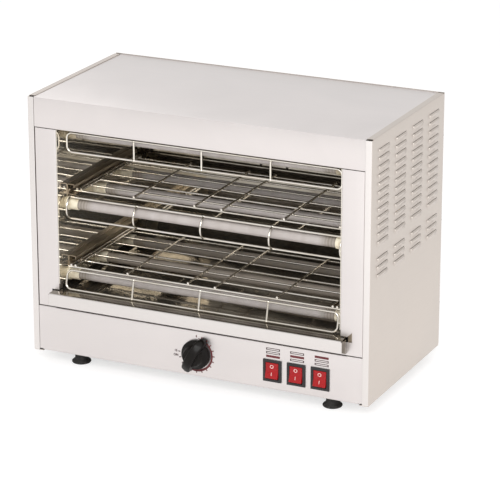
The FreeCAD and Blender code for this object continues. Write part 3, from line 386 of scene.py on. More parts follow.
def ink(name, hex_value):
    """Printing ink with a faint mesh of lighter spots."""
    made, tree, shader = material(name, hex_value, 0.55)
    place = add(tree, "ShaderNodeTexCoord")
    speck = add(tree, "ShaderNodeTexNoise", Vector=place.outputs["Object"], Scale=900.0, Detail=2.0)
    tone = add(tree, "ShaderNodeMapRange", Value=speck.outputs[0], From_Min=0.45, From_Max=0.8, To_Min=0.0,
               To_Max=0.2)
    film = add(tree, "ShaderNodeMix", {"data_type": "RGBA"}, i0=tone.outputs[0], i6=colour(hex_value),
               i7=colour("#B9A9A8"))
    tree.links.new(film.outputs[2], shader.inputs["Base Color"])
    return made


red_ink = ink("dark_red_screen_ink", "#5E0D14")
dark_ink = ink("dark_brown_screen_ink", "#34171A")


def printed_bar(shape, x0, x1, z0, z1, turn=0.0, about=(0.0, 0.0)):
    """A printed rectangle on the control panel, turned clockwise about a point."""
    bar = [shape.verts.new((x, print_y, z)) for x, z in ((x0, z0), (x1, z0), (x1, z1), (x0, z1))]
    shape.faces.new(bar)
    bmesh.ops.rotate(shape, verts=bar, cent=(about[0], 0, about[1]), matrix=Matrix.Rotation(math.radians(turn), 3, "Y"))
    return bar


def lettering(shape, text, height, place, lean=0.0, thicken_by=0.0):
    """Plain upright characters that face the front, centred on a place, leaning back by an angle."""
    curve = bpy.data.curves.new("characters", "FONT")
    curve.body, curve.size, curve.align_x, curve.align_y = text, height / 0.73, "CENTER", "CENTER"
    curve.offset = thicken_by
    holder = bpy.data.objects.new("characters", curve)
    scene.collection.objects.link(holder)
    bpy.context.view_layer.update()
    flat = bpy.data.meshes.new_from_object(holder.evaluated_get(bpy.context.evaluated_depsgraph_get()))
    flat.transform(Matrix.Translation(place) @ Matrix.Rotation(math.radians(90.0 + lean), 4, "X"))
    shape.from_mesh(flat)
    bpy.data.objects.remove(holder)
    bpy.data.curves.remove(curve)
    bpy.data.meshes.remove(flat)


# The dial runs clockwise from the top in eighteen-degree steps. A red ring swells along it.
ring = bmesh.new()
rim = [ring.verts.new((0, print_y, knob_z + radius)) for radius in (22.3, 23.2)]
bar = ring.edges.new(rim)
bmesh.ops.rotate(ring, verts=rim, cent=(0, 0, knob_z), matrix=Matrix.Rotation(math.radians(6.0), 3, "Y"))
bmesh.ops.spin(ring, geom=[bar], cent=(0, 0, knob_z), axis=(0, 1, 0), angle=math.radians(191.0), steps=72)
for vert in ring.verts:
    arm = Vector((vert.co.x, 0, vert.co.z - knob_z))
    turn = math.degrees(math.atan2(arm.x, arm.z)) % 360
    swell = 0.1 + max(0.0, min((turn - 6.0) / 184.0, 1.0)) * 1.8
    step = arm.normalized() * (swell if arm.length > 22.7 else -swell * 0.6)
    vert.co += step
for number in range(13):
    printed_bar(ring, -0.75, 0.75, knob_z + 23.9, knob_z + 27.0, number * 18.0, (0.0, knob_z))
for x, row in zip((112.8, 147.7, 182.9), (0, 1, 2)):
    printed_bar(ring, x - 10.0, x + 10.0, 63.6 + row * 5.1, 66.9 + row * 5.1)
bmesh.ops.recalc_face_normals(ring, faces=ring.faces)
if ring.faces[0].normal.y > 0:
    bmesh.ops.reverse_faces(ring, faces=ring.faces)
piece("printed_red_marks", ring, red_ink)

marks = bmesh.new()
for number in (13, 14, 15):
    printed_bar(marks, -0.7, 0.7, knob_z + 24.2, knob_z + 27.4, number * 18.0, (0.0, knob_z))
lettering(marks, "15", 3.2, (-30.8, print_y, 51.0), thicken_by=0.22)
lettering(marks, "ON", 3.2, (-30.8, print_y, 44.8), thicken_by=0.22)
for x, solid in zip((112.8, 147.7, 182.9), (0, 1, 2)):
    for row in {0, 1, 2} - {solid}:
        low, high = 63.6 + row * 5.1, 66.9 + row * 5.1
        for x0, x1, z0, z1 in ((x - 10, x + 10, low, low + 0.95), (x - 10, x + 10, high - 0.95, high),
                               (x - 10, x - 8.6, low + 0.95, high - 0.95), (x + 8.6, x + 10, low + 0.95, high - 0.95)):
            printed_bar(marks, x0, x1, z0, z1)
bmesh.ops.recalc_face_normals(marks, faces=marks.faces)
for face in marks.faces:
    if face.normal.y > 0:
        face.normal_flip()
piece("printed_dark_marks", marks, dark_ink)


# Back panel and base: plainer sheets of mill-finish stainless, with punched cooling slots. The rolled
# surface is greyer and a little rougher than the polished casing, with its lines running crosswise.
mill_finish = steel("mill_finish_stainless", "#CFC9C3", 0.4, 0, 0.0012, 0.00003, 0.06)


def dress(finish, *names):
    """Give a finish to pieces that keep the shape of their solids."""
    for name in names:
        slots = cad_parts[name].data.materials
        slots.clear()
        slots.append(finish)


dress(mill_finish, "rear_panel", "base_panel")

# The back panel's screws: zinc-plated pan heads with a cross recess, three up each edge and two on top.
zinc_plate, tree, shader = material("zinc_plated_steel", "#B4B5B2", 0.36, 1.0)
place = add(tree, "ShaderNodeTexCoord")
spangle = add(tree, "ShaderNodeTexVoronoi", Vector=place.outputs["Object"], Scale=900.0)
dull = add(tree, "ShaderNodeMapRange", Value=spangle.outputs["Distance"], To_Min=0.3, To_Max=0.46)
tree.links.new(dull.outputs[0], shader.inputs["Roughness"])
# The cross recesses are thin dark slabs on the heads, not hollows: their colour is painted shade.
painted_shade_recess = material("painted_shade_cross_recess", "#1D1B19", 0.7)[0]


def turned(shape, outline, centre, along, steps=32):
    """Spin an outline of (radius, distance) points about an axis through a centre."""
    along, centre = Vector(along), Vector(centre)
    arm = Vector((0, 0, 1)) if abs(along.z) < 0.5 else Vector((1, 0, 0))
    verts = [shape.verts.new(centre + along * distance + arm * radius) for radius, distance in outline]
    loop = [shape.edges.new(pair) for pair in zip(verts, verts[1:] + verts[:1])]
    spun = bmesh.ops.spin(shape, geom=verts + loop, cent=centre, axis=along, angle=math.tau, steps=steps,
                          use_merge=True)
    return spun


def tidied(shape):
    """Merge a shape's doubles and point its faces outwards."""
    bmesh.ops.remove_doubles(shape, verts=shape.verts, dist=0.001)
    bmesh.ops.recalc_face_normals(shape, faces=shape.faces)
    return shape


screw_places = [(side * 245.5, floor_z + 360.0 * level) for side in (-1, 1) for level in (1 / 6, 1 / 2, 5 / 6)]
screw_places += [(side * 125.0, top_z - 7.5) for side in (-1, 1)]
heads, recesses = bmesh.new(), bmesh.new()
for x, z in screw_places:
    turned(heads, [(0.0, 8.0), (2.0, 8.0), (2.0, 0.0), (4.0, 0.0), (4.0, -0.9), (3.5, -1.7), (2.2, -2.3),
                   (0.0, -2.5)], (x, back_y, z), (0, -1, 0), 20)
    # Painted shade: each arm of the cross is a dark slab laid on the head.
    for turn in (20.0, 110.0):
        arm = bmesh.ops.create_cube(recesses, size=1.0)["verts"]
        bmesh.ops.scale(recesses, verts=arm, vec=(3.6, 0.3, 0.7))
        bmesh.ops.rotate(recesses, verts=arm, cent=(0, 0, 0), matrix=Matrix.Rotation(math.radians(turn), 3, "Y"))
        bmesh.ops.translate(recesses, verts=arm, vec=(x, back_y + 2.42, z))
piece("pan_head_screws", tidied(heads), zinc_plate, nodes=["panel_screws"])
piece("cross_recesses", recesses, painted_shade_recess)
dress(zinc_plate, "foot_screws")


# Toasting chamber: mirror-polished stainless, slightly wavy, yellowed and browned by years of heat.
# The walls lap forward over the posts' folded edges, so no raw edge shows in the opening.
def mirror(name, hex_value, stain, roughness, waviness):
    """Heat-stained mirror sheet: long waves, small dents, clouds of brown and an oxide haze."""
    made, tree, shader = material(name, hex_value, roughness, 0.88)
    place = add(tree, "ShaderNodeTexCoord")
    wave = add(tree, "ShaderNodeTexNoise", Vector=place.outputs["Object"], Scale=28.0, Detail=1.5)
    dent = add(tree, "ShaderNodeTexNoise", Vector=place.outputs["Object"], Scale=160.0, Detail=2.0)
    height = add(tree, "ShaderNodeMath", {"operation": "MULTIPLY_ADD"}, i0=dent.outputs[0], i1=0.10,
                 i2=wave.outputs[0])
    relief = add(tree, "ShaderNodeBump", Strength=1.0, Distance=waviness, Height=height.outputs[0])
    cloud = add(tree, "ShaderNodeTexNoise", Vector=place.outputs["Object"], Scale=22.0, Detail=5.0,
                Roughness=0.62)
    heat = add(tree, "ShaderNodeMapRange", Value=cloud.outputs[0], From_Min=0.36, From_Max=0.66)
    base = add(tree, "ShaderNodeMix", {"data_type": "RGBA"}, i0=heat.outputs[0], i6=colour(hex_value),
               i7=colour(stain))
    dull = add(tree, "ShaderNodeMapRange", Value=cloud.outputs[0], From_Min=0.3, From_Max=0.7,
               To_Min=roughness * 0.6, To_Max=roughness * 1.6)
    tree.links.new(base.outputs[2], shader.inputs["Base Color"])
    tree.links.new(dull.outputs[0], shader.inputs["Roughness"])
    tree.links.new(relief.outputs[0], shader.inputs["Normal"])
    return made


chamber_mirror = mirror("heat_stained_mirror_stainless", "#EAE5DB", "#D2CABA", 0.03, 0.0002)
# The back wall and roof take a far darker base and stain than the side walls: painted shade deep in the chamber and
# under the fascia, on top of real heat stain.
back_mirror_painted_shade = mirror("browned_and_shaded_mirror_stainless", "#A09A8F", "#7A7267", 0.04, 0.0001)
dress(chamber_mirror, "cavity_wall_left", "cavity_wall_right")
dress(back_mirror_painted_shade, "cavity_back_wall", "cavity_roof")
half_chamber = 207.5
lining = bmesh.new()
for side in (-1, 1):
    strip = bmesh.ops.create_cube(lining, size=1.0)["verts"]
    bmesh.ops.scale(lining, verts=strip, vec=(0.9, 8.7, 218.6))
    bmesh.ops.translate(lining, verts=strip, vec=(side * (half_chamber + 0.5), front_y + 5.45, 227.5))
piece("walls_front_laps", lining, chamber_mirror)
dress(mill_finish, "heat_shield", "tray_runner_left", "tray_runner_right")


# Rack rails: narrow stainless channels, two on each wall. The top edge is folded over and down so
# that a grille can't tip, and a spot-welded angle carries the grille. Heat has browned their satin.
browned_satin = steel("browned_satin_stainless", "#AFA392", 0.3, 1, 0.0006, 0.00001, 0.03, "#9C8F7C")
rail_front, rail_back = -94.0, 90.0
for rail_name, top, foot in (("upper", 254.5, 236.4), ("lower", 152.0, 136.0)):
    for side, side_name in ((-1, "left"), (1, "right")):
        x = side * half_chamber
        inward = Vector((-side, 0, 0))
        web = flat_sheet([(x, rail_front, foot), (x, rail_back, foot), (x, rail_back, top - 1.5),
                          (x, rail_front, top - 1.5)])
        over = fold(web, edges_where(web, lambda at: near(at.z, top - 1.5)), (0, 0, 1), inward, 1.5, 9.5)
        fold(web, over, inward, (0, 0, -1), 1.5, 5.0)
        rail = thicken(web, (side, 0, 0))
        x_in = x - side * 1.0
        leg = flat_sheet([(x_in, rail_front, top - 14.8 + 1.2), (x_in, rail_back, top - 14.8 + 1.2),
                          (x_in, rail_back, top - 8.0), (x_in, rail_front, top - 8.0)])
        fold(leg, edges_where(leg, lambda at: near(at.z, top - 13.6)), (0, 0, -1), inward, 1.2, 11.0)
        thicken(leg, (side, 0, 0))
        ledge_mesh = bpy.data.meshes.new("ledge")
        leg.to_mesh(ledge_mesh)
        leg.free()
        rail.from_mesh(ledge_mesh)
        bpy.data.meshes.remove(ledge_mesh)
        piece(f"channel_rail_{rail_name}_{side_name}", rail, browned_satin,
              nodes=[f"rack_rail_{rail_name}_{side_name}"], smooth=50)

# A strip of the same sheet, welded behind the frame, closes the right end of the tray's slot.
strip = bmesh.new()
bmesh.ops.create_cube(strip, size=1.0)
bmesh.ops.scale(strip, verts=strip.verts, vec=(17.0, 0.8, 24.0))
bmesh.ops.translate(strip, verts=strip.verts, vec=(227.6, -118.4, 110.0))
piece("slot_end_strip", strip, browned_satin)


# Crumb tray: one bright-polished sheet under the lowest tubes, with its sides and back turned up and
# its front turned down as a lip to pull it by. Heat has browned it inside, while the lip stays satin.
tray_mirror = mirror("scorched_bright_stainless", "#9A948A", "#746D63", 0.05, 0.00005)
tree = tray_mirror.node_tree
shader = tree.nodes["Principled BSDF"]
scorched = shader.inputs["Base Color"].links[0].from_socket
place = add(tree, "ShaderNodeTexCoord")
depth = add(tree, "ShaderNodeSeparateXYZ", Vector=place.outputs["Object"])
on_top = add(tree, "ShaderNodeMapRange", Value=depth.outputs["Y"], From_Min=-0.1363, From_Max=-0.1352)
clean = add(tree, "ShaderNodeMix", {"data_type": "RGBA"}, i0=on_top.outputs[0], i6=colour("#DAD5D2"), i7=scorched)
rubbed = add(tree, "ShaderNodeMapRange", Value=on_top.outputs[0], To_Min=0.3, To_Max=0.06)
tree.links.new(clean.outputs[2], shader.inputs["Base Color"])
tree.links.new(rubbed.outputs[0], shader.inputs["Roughness"])
tray_z, tray_back, tray_half = 109.0, 101.0, 216.5
tray_side = 216.2
tray_sheet = flat_sheet([(-tray_side, -134.5, tray_z), (tray_side, -134.5, tray_z),
                         (tray_side, tray_back - 2.5, tray_z), (-tray_side, tray_back - 2.5, tray_z)])
cut(tray_sheet, (0, 1, 0), (-118.0,))
lip_foot = fold(tray_sheet, edges_where(tray_sheet, lambda at: near(at.y, -134.5)), (0, -1, 0), (0, 0, -1), 2.0, 17.0)
for side in (-1, 1):
    fold(tray_sheet, edges_where(tray_sheet, lambda at: near(at.x, side * tray_side) and at.y > -118.5
                                 and near(at.z, tray_z)), (side, 0, 0), (0, 0, 1), 0.6, 0.9)
    lip_end = fold(tray_sheet, edges_where(tray_sheet, lambda at: near(at.x, side * tray_side) and near(at.y, -136.5)
                                           and at.z < tray_z - 1.9), (side, 0, 0), (0, 1, 0), 1.5, 14.0)
    min((vert for edge in lip_end for vert in edge.verts), key=lambda vert: vert.co.z).co.z -= 5.5
fold(tray_sheet, edges_where(tray_sheet, lambda at: near(at.y, tray_back - 2.5) and near(at.z, tray_z)),
     (0, 1, 0), (0, 0, 1), 1.5, 2.4)
piece("folded_crumb_tray", thicken(tray_sheet, (0, 0, 1)), tray_mirror, body="tray",
      nodes=["crumb_tray"], smooth=50)


# Heating tubes: fused quartz, sandblasted white between the caps and left clear at its ends, where
# the coil's first turns show as faint rings. The bottom level's middle and rear tubes are painted darker
# and browner: painted shade deep in the chamber.
frosted_quartz, tree, shader = material("frosted_fused_quartz", "#BBB4B0", 0.34)
shader.inputs["IOR"].default_value = 1.46
place = add(tree, "ShaderNodeTexCoord")
split = add(tree, "ShaderNodeSeparateXYZ", Vector=place.outputs["Object"])
along = add(tree, "ShaderNodeMath", {"operation": "ABSOLUTE"}, i0=split.outputs["X"])
clear = add(tree, "ShaderNodeMapRange", Value=along.outputs[0], From_Min=0.166, From_Max=0.180)
stretched = add(tree, "ShaderNodeMapping", Vector=place.outputs["Object"], Scale=(60.0, 12.0, 12.0))
ringed = add(tree, "ShaderNodeTexNoise", Vector=stretched.outputs[0], Scale=1.0, Detail=3.0)
turns = add(tree, "ShaderNodeMath", {"operation": "PINGPONG"}, i0=along.outputs[0], i1=0.0022)
turn_tone = add(tree, "ShaderNodeMapRange", Value=turns.outputs[0], From_Min=0.0, From_Max=0.0022)
frost = add(tree, "ShaderNodeMapRange", Value=ringed.outputs[0], From_Min=0.3, From_Max=0.75)
milky = add(tree, "ShaderNodeMix", {"data_type": "RGBA"}, i0=frost.outputs[0], i6=colour("#B1A9A4"),
            i7=colour("#C0B9B6"))
glassy = add(tree, "ShaderNodeMix", {"data_type": "RGBA"}, i0=turn_tone.outputs[0], i6=colour("#8B8279"),
             i7=colour("#A59C92"))
both = add(tree, "ShaderNodeMix", {"data_type": "RGBA"}, i0=clear.outputs[0], i6=milky.outputs[2],
           i7=glassy.outputs[2])
# Painted shade: the bottom level's middle and rear tubes turn darker and browner.
painted_shade_inner_rows = add(tree, "ShaderNodeMapRange", Value=split.outputs["Y"], From_Min=-0.07, From_Max=-0.04, To_Max=0.75)
painted_shade_bottom_level = add(tree, "ShaderNodeMapRange", Value=split.outputs["Z"], From_Min=0.2, From_Max=0.15)
darkened_tone = add(tree, "ShaderNodeMath", {"operation": "MULTIPLY"}, i0=painted_shade_inner_rows.outputs[0], i1=painted_shade_bottom_level.outputs[0])
both = add(tree, "ShaderNodeMix", {"data_type": "RGBA"}, i0=darkened_tone.outputs[0], i6=both.outputs[2],
           i7=colour("#877C6E"))
gloss = add(tree, "ShaderNodeMapRange", Value=clear.outputs[0], To_Min=0.4, To_Max=0.12)
tree.links.new(both.outputs[2], shader.inputs["Base Color"])
tree.links.new(gloss.outputs[0], shader.inputs["Roughness"])
tube_places = {(level_name, row_name): (y, z)
               for level_name, z in (("bottom", 126.0), ("middle", 226.3), ("top", 326.6))
               for row_name, y in (("front", -91.0), ("middle", -11.0), ("rear", 69.0))}
for (level_name, row_name), (y, z) in tube_places.items():
    tube = bmesh.new()
    turned(tube, [(5.6, -202.4), (6.6, -202.4), (7.0, -201.9), (7.0, -176.0), (7.0, 0.0), (7.0, 176.0),
                  (7.0, 201.9), (6.6, 202.4), (5.6, 202.4)], (0, y, z), (1, 0, 0), 40)
    piece(f"frosted_tube_{level_name}_{row_name}", tidied(tube), frosted_quartz,
          nodes=[f"quartz_tube_{level_name}_{row_name}"])

# Tube caps: pressed and fired steatite, unglazed, cream with random patches of brown. The top level's caps are
# painted darker: painted shade under the roof and fascia. A collar seats each one against the wall. Its chalky
# surface has fine pits left by the press.
steatite, tree, shader = material("unglazed_steatite", "#EDE4CC", 0.62)
place = add(tree, "ShaderNodeTexCoord")
pits = add(tree, "ShaderNodeTexNoise", Vector=place.outputs["Object"], Scale=1400.0, Detail=2.0)
scorch = add(tree, "ShaderNodeTexNoise", Vector=place.outputs["Object"], Scale=120.0, Detail=3.0)
darkened_tone = add(tree, "ShaderNodeMapRange", Value=scorch.outputs[0], From_Min=0.45, From_Max=0.8, To_Max=0.5)
body_tone = add(tree, "ShaderNodeMix", {"data_type": "RGBA"}, i0=darkened_tone.outputs[0], i6=colour("#EFE6CF"),
                i7=colour("#B89A6C"))
split = add(tree, "ShaderNodeSeparateXYZ", Vector=place.outputs["Object"])
# Painted shade: the top level's caps turn darker.
painted_shade_top_caps = add(tree, "ShaderNodeMapRange", Value=split.outputs["Z"], From_Min=0.28, From_Max=0.31, To_Max=0.7)
body_tone = add(tree, "ShaderNodeMix", {"data_type": "RGBA"}, i0=painted_shade_top_caps.outputs[0], i6=body_tone.outputs[2],
                i7=colour("#8F7F62"))
relief = add(tree, "ShaderNodeBump", Strength=0.4, Distance=0.0001, Height=pits.outputs[0])
tree.links.new(body_tone.outputs[2], shader.inputs["Base Color"])
tree.links.new(relief.outputs[0], shader.inputs["Normal"])
cap_outline = [(3.2, 216.4), (3.2, 202.7), (7.15, 202.7), (7.15, 190.2), (7.5, 190.2), (8.0, 190.8), (8.0, 204.6),
               (9.1, 204.6), (9.5, 205.0), (9.5, 207.4), (8.0, 207.4), (8.0, 215.9), (7.5, 216.4)]
for level_name in ("bottom", "middle", "top"):
    caps = bmesh.new()
    for side in (-1, 1):
        for row_name in ("front", "middle", "rear"):
            y, z = tube_places[level_name, row_name]
            turned(caps, cap_outline, (0, y, z), (side, 0, 0), 28)
    piece(f"steatite_caps_{level_name}", tidied(caps), steatite,
          nodes=[f"ceramic_caps_{level_name}"])

# The coils are resistance wire, blackened by its own oxide, and flat brass strips join their ends.
oxide_wire = steel("oxidised_resistance_wire", "#4A433D", 0.5, 0, 0.001, 0.00002, 0.08)
brass = steel("rolled_brass", "#B8955A", 0.3, 2, 0.0008, 0.00001, 0.06)
dress(oxide_wire, "heating_coils_bottom", "heating_coils_middle", "heating_coils_top")
dress(brass, "bus_strips_left", "bus_strips_right")


# Guards and grilles: bright-drawn wire, bent cold and spot-welded where it crosses, which leaves a
# small flattened bead at each crossing. Heat has yellowed the polish slightly.
bright_wire = steel("bright_drawn_wire", "#E4DFD7", 0.13, 0, 0.0016, 0.00001, 0.03, "#D5CDC0")
dress(bright_wire, "guard_top", "guard_middle", "guard_bottom", "rack_upper", "rack_lower")


def bead(shape, x, y, z, width, depth, height):
    """One weld bead, flattened and rounded."""
    drop = bmesh.ops.create_uvsphere(shape, u_segments=8, v_segments=5, radius=1.0)["verts"]
    bmesh.ops.scale(shape, verts=drop, vec=(width, depth, height))
    bmesh.ops.translate(shape, verts=drop, vec=(x, y, z))


for rack_name, first_wire, wire_z in (("upper", -83.0, 242.5), ("lower", -104.0, 140.0)):
    beads = bmesh.new()
    for number in range(7):
        for x in (-197.5, -191.0, -111.0, -20.0, 20.0, 111.0, 191.0, 197.5):
            bead(beads, x, first_wire + number * 28.4, wire_z + 1.4, 1.8, 1.7, 1.3)
    piece(f"weld_beads_{rack_name}_rack", beads, bright_wire, body=f"{rack_name}_rack", smooth=80)
guard_beads = bmesh.new()
for y_top, z_top, y_foot, z_foot in ((-102.5, 330.0, -102.5, 303.0), (-96.0, 237.0, -96.0, 206.5),
                                     (-108.5, 136.5, -114.5, 111.0)):
    for x in (-100.0, 0.0, 100.0):
        bead(guard_beads, x, y_top - 0.6, z_top, 2.3, 1.7, 2.0)
        bead(guard_beads, x, y_foot - 0.6, z_foot, 2.3, 1.7, 2.0)
piece("weld_beads_guards", guard_beads, bright_wire, smooth=80)


# Timer and its knob: a clockwork timer behind the panel, held by a nut, and a knob moulded in glossy
# black phenolic, with a round skirt and a high arched grip that is rounded at both ends.
dress(zinc_plate, "timer_body", "timer_nut", "timer_shaft")
phenolic, tree, shader = material("polished_black_phenolic", "#14110F", 0.2)
shader.inputs["Specular IOR Level"].default_value = 0.12
shader.inputs["Coat Weight"].default_value = 0.06
shader.inputs["Coat Roughness"].default_value = 0.1
place = add(tree, "ShaderNodeTexCoord")
handling = add(tree, "ShaderNodeTexNoise", Vector=place.outputs["Object"], Scale=110.0, Detail=4.0)
polish = add(tree, "ShaderNodeMapRange", Value=handling.outputs[0], From_Min=0.3, From_Max=0.7, To_Min=0.3,
             To_Max=0.46)
tree.links.new(polish.outputs[0], shader.inputs["Roughness"])
knob = bmesh.new()
turned(knob, [(0.0, -138.0), (3.2, -138.0), (3.2, -128.3), (9.3, -128.3), (9.3, -122.6), (19.8, -122.6),
              (20.4, -123.3), (20.4, -125.8), (19.8, -127.2), (17.8, -128.2), (15.6, -129.4), (14.2, -131.6),
              (13.2, -137.6), (12.2, -138.8), (0.0, -139.2)], (0, 0, knob_z), (0, 1, 0), 56)
grip = bmesh.new()
bmesh.ops.create_circle(grip, cap_ends=True, radius=6.3, segments=32)
bmesh.ops.rotate(grip, verts=grip.verts, cent=(0, 0, 0), matrix=Matrix.Rotation(math.pi / 32, 3, "Z"))
bmesh.ops.rotate(grip, verts=grip.verts, cent=(0, 0, 0), matrix=Matrix.Rotation(math.pi / 2, 3, "X"))
for vert in grip.verts:
    vert.co += Vector((0, -123.5, 21.0 if vert.co.z > 0 else -21.0))
cut(grip, (0, 0, 1), range(-20, 21, 5))
raised = bmesh.ops.extrude_face_region(grip, geom=grip.faces[:], use_keep_orig=True)["geom"]
arch_radius = 32.0
for vert in raised:
    if isinstance(vert, bmesh.types.BMVert):
        vert.co.y = -144.9 + arch_radius - math.sqrt(arch_radius ** 2 - vert.co.z ** 2)
bmesh.ops.recalc_face_normals(grip, faces=grip.faces)
crest = [edge for edge in grip.edges if all(vert.co.y < -124 for vert in edge.verts)
         and edge.calc_face_angle(0.0) > 0.7]
bmesh.ops.bevel(grip, geom=crest, offset=2.3, offset_type="OFFSET", segments=4, profile=0.5, affect="EDGES",
                material=-1, clamp_overlap=True)
bmesh.ops.rotate(grip, verts=grip.verts, cent=(0, 0, 0), matrix=Matrix.Rotation(math.radians(28.8), 3, "Y"))
bmesh.ops.translate(grip, verts=grip.verts, vec=(0, 0, knob_z))
grip_mesh = bpy.data.meshes.new("grip")
grip.to_mesh(grip_mesh)
grip.free()
knob.from_mesh(grip_mesh)
bpy.data.meshes.remove(grip_mesh)
piece("phenolic_timer_knob", tidied(knob), phenolic, body="timer_dial", nodes=["timer_knob"])


# Rocker switches: a snap-in housing of black nylon with a bevelled bezel, and a rocker moulded in red
# polycarbonate with its O and I printed in pale ink. Fine moulding grain keeps the nylon dull.
black_nylon, tree, shader = material("moulded_black_nylon", "#1D1B1B", 0.48)
place = add(tree, "ShaderNodeTexCoord")
grain = add(tree, "ShaderNodeTexNoise", Vector=place.outputs["Object"], Scale=2200.0, Detail=2.0)
relief = add(tree, "ShaderNodeBump", Strength=0.25, Distance=0.00005, Height=grain.outputs[0])
tree.links.new(relief.outputs[0], shader.inputs["Normal"])
red_plastic, tree, shader = material("moulded_red_polycarbonate", "#A30A10", 0.36)
shader.inputs["IOR"].default_value = 1.58
shader.inputs["Specular IOR Level"].default_value = 0.3
shader.inputs["Subsurface Weight"].default_value = 0.25
shader.inputs["Subsurface Radius"].default_value = (0.003, 0.0006, 0.0005)
place = add(tree, "ShaderNodeTexCoord")
handling = add(tree, "ShaderNodeTexNoise", Vector=place.outputs["Object"], Scale=180.0, Detail=3.0)
polish = add(tree, "ShaderNodeMapRange", Value=handling.outputs[0], To_Min=0.22, To_Max=0.4)
tree.links.new(polish.outputs[0], shader.inputs["Roughness"])
pale_ink = material("pale_pad_printing_ink", "#F1CFC9", 0.5)[0]
bezel_y, housing_back, pivot_y = -123.0, -97.0, -116.5
rocker_tilt = math.radians(8.0)
for number, x in enumerate(switch_places, 1):
    housing = flat_sheet([(x - 13.25, bezel_y, switch_z - 15.5), (x + 13.25, bezel_y, switch_z - 15.5),
                          (x + 13.25, bezel_y, switch_z + 15.5), (x - 13.25, bezel_y, switch_z + 15.5)])
    bmesh.ops.inset_individual(housing, faces=housing.faces[:], thickness=3.7)
    rim = [edge for edge in housing.edges if len(edge.link_faces) == 1]
    well = min(housing.faces, key=lambda face: (face.calc_center_median() - Vector((x, bezel_y, switch_z))).length)
    for vert in well.verts:
        vert.co.x = x + math.copysign(9.4, vert.co.x - x)
        vert.co.z = switch_z + math.copysign(11.8, vert.co.z - switch_z)
    floor_face = bmesh.ops.extrude_discrete_faces(housing, faces=[well])["faces"][0]
    bmesh.ops.translate(housing, verts=floor_face.verts, vec=(0, 11.0, 0))
    for scale, shift in (((1, 1, 1), 2.0), ((22 / 26.5, 1, 27 / 31), 0.0), ((1, 1, 1), 24.0)):
        grown = bmesh.ops.extrude_edge_only(housing, edges=rim)["geom"]
        ends = [part for part in grown if isinstance(part, bmesh.types.BMVert)]
        bmesh.ops.scale(housing, verts=ends, vec=scale, space=Matrix.Translation((-x, 0, -switch_z)))
        bmesh.ops.translate(housing, verts=ends, vec=(0, shift, 0))
        rim = [part for part in grown if isinstance(part, bmesh.types.BMEdge)
               and all(vert in ends for vert in part.verts)]
    bmesh.ops.contextual_create(housing, geom=rim)
    tidied(housing)
    lips = [edge for edge in housing.edges if all(near(vert.co.y, bezel_y) for vert in edge.verts)
            and edge.calc_face_angle(0.0) > 0.7]
    bmesh.ops.bevel(housing, geom=lips, offset=0.7, offset_type="OFFSET", segments=3, profile=0.5,
                    affect="EDGES", material=-1, clamp_overlap=True)
    for across in (-5.5, 5.5):
        for up in (-6.75, 6.75):
            blade = bmesh.ops.create_cube(housing, size=1.0)["verts"]
            bmesh.ops.scale(housing, verts=blade, vec=(0.8, 8.5, 6.3))
            bmesh.ops.translate(housing, verts=blade, vec=(x + across, housing_back + 3.7, switch_z + up))
    piece(f"bezel_and_housing_{number}", housing, black_nylon,
          nodes=[f"switch_housing_{number}"])

    lift = math.tan(rocker_tilt) * 12.0
    cap = bmesh.new()
    side_face = cap.faces.new([cap.verts.new((x - 9.1, y, z)) for y, z in (
        (-6.9 - lift, -11.4), (-6.9, 0.0), (-6.9 - lift, 11.0), (0.0, 7.5), (0.0, -7.5))])
    moved = bmesh.ops.extrude_face_region(cap, geom=[side_face], use_keep_orig=True)["geom"]
    bmesh.ops.translate(cap, verts=[part for part in moved if isinstance(part, bmesh.types.BMVert)], vec=(18.2, 0, 0))
    tidied(cap)
    valley = [edge for edge in cap.edges if all(near(vert.co.y, -6.9) for vert in edge.verts)]
    bmesh.ops.bevel(cap, geom=valley, offset=2.5, offset_type="OFFSET", segments=5, profile=0.5, affect="EDGES",
                    material=-1, clamp_overlap=True)
    brim = [edge for edge in cap.edges if all(vert.co.y < -6.0 for vert in edge.verts)
            and edge.calc_face_angle(0.0) > 0.7]
    bmesh.ops.bevel(cap, geom=brim, offset=1.1, offset_type="OFFSET", segments=3, profile=0.5, affect="EDGES",
                    material=-1, clamp_overlap=True)
    bmesh.ops.rotate(cap, verts=cap.verts, cent=(0, 0, 0), matrix=Matrix.Rotation(-rocker_tilt, 3, "X"))
    bmesh.ops.translate(cap, verts=cap.verts, vec=(0, pivot_y, switch_z))
    turned(cap, [(0.0, -10.2), (1.45, -10.2), (1.45, 10.2), (0.0, 10.2)], (x, pivot_y, switch_z), (1, 0, 0), 16)
    piece(f"red_rocker_{number}", tidied(cap), red_plastic, body=f"rocker_{number}",
          nodes=[f"switch_rocker_{number}"])
    signs = bmesh.new()
    lettering(signs, "O", 5.0, (x, -123.45, 51.4), thicken_by=0.1)
    signs.faces.new([signs.verts.new((x + across, -123.4 - (46.4 - up) * 0.287, up))
                     for across, up in ((-0.4, 39.4), (0.4, 39.4), (0.4, 43.8), (-0.4, 43.8))])
    piece(f"rocker_signs_{number}", signs, pale_ink, body=f"rocker_{number}")


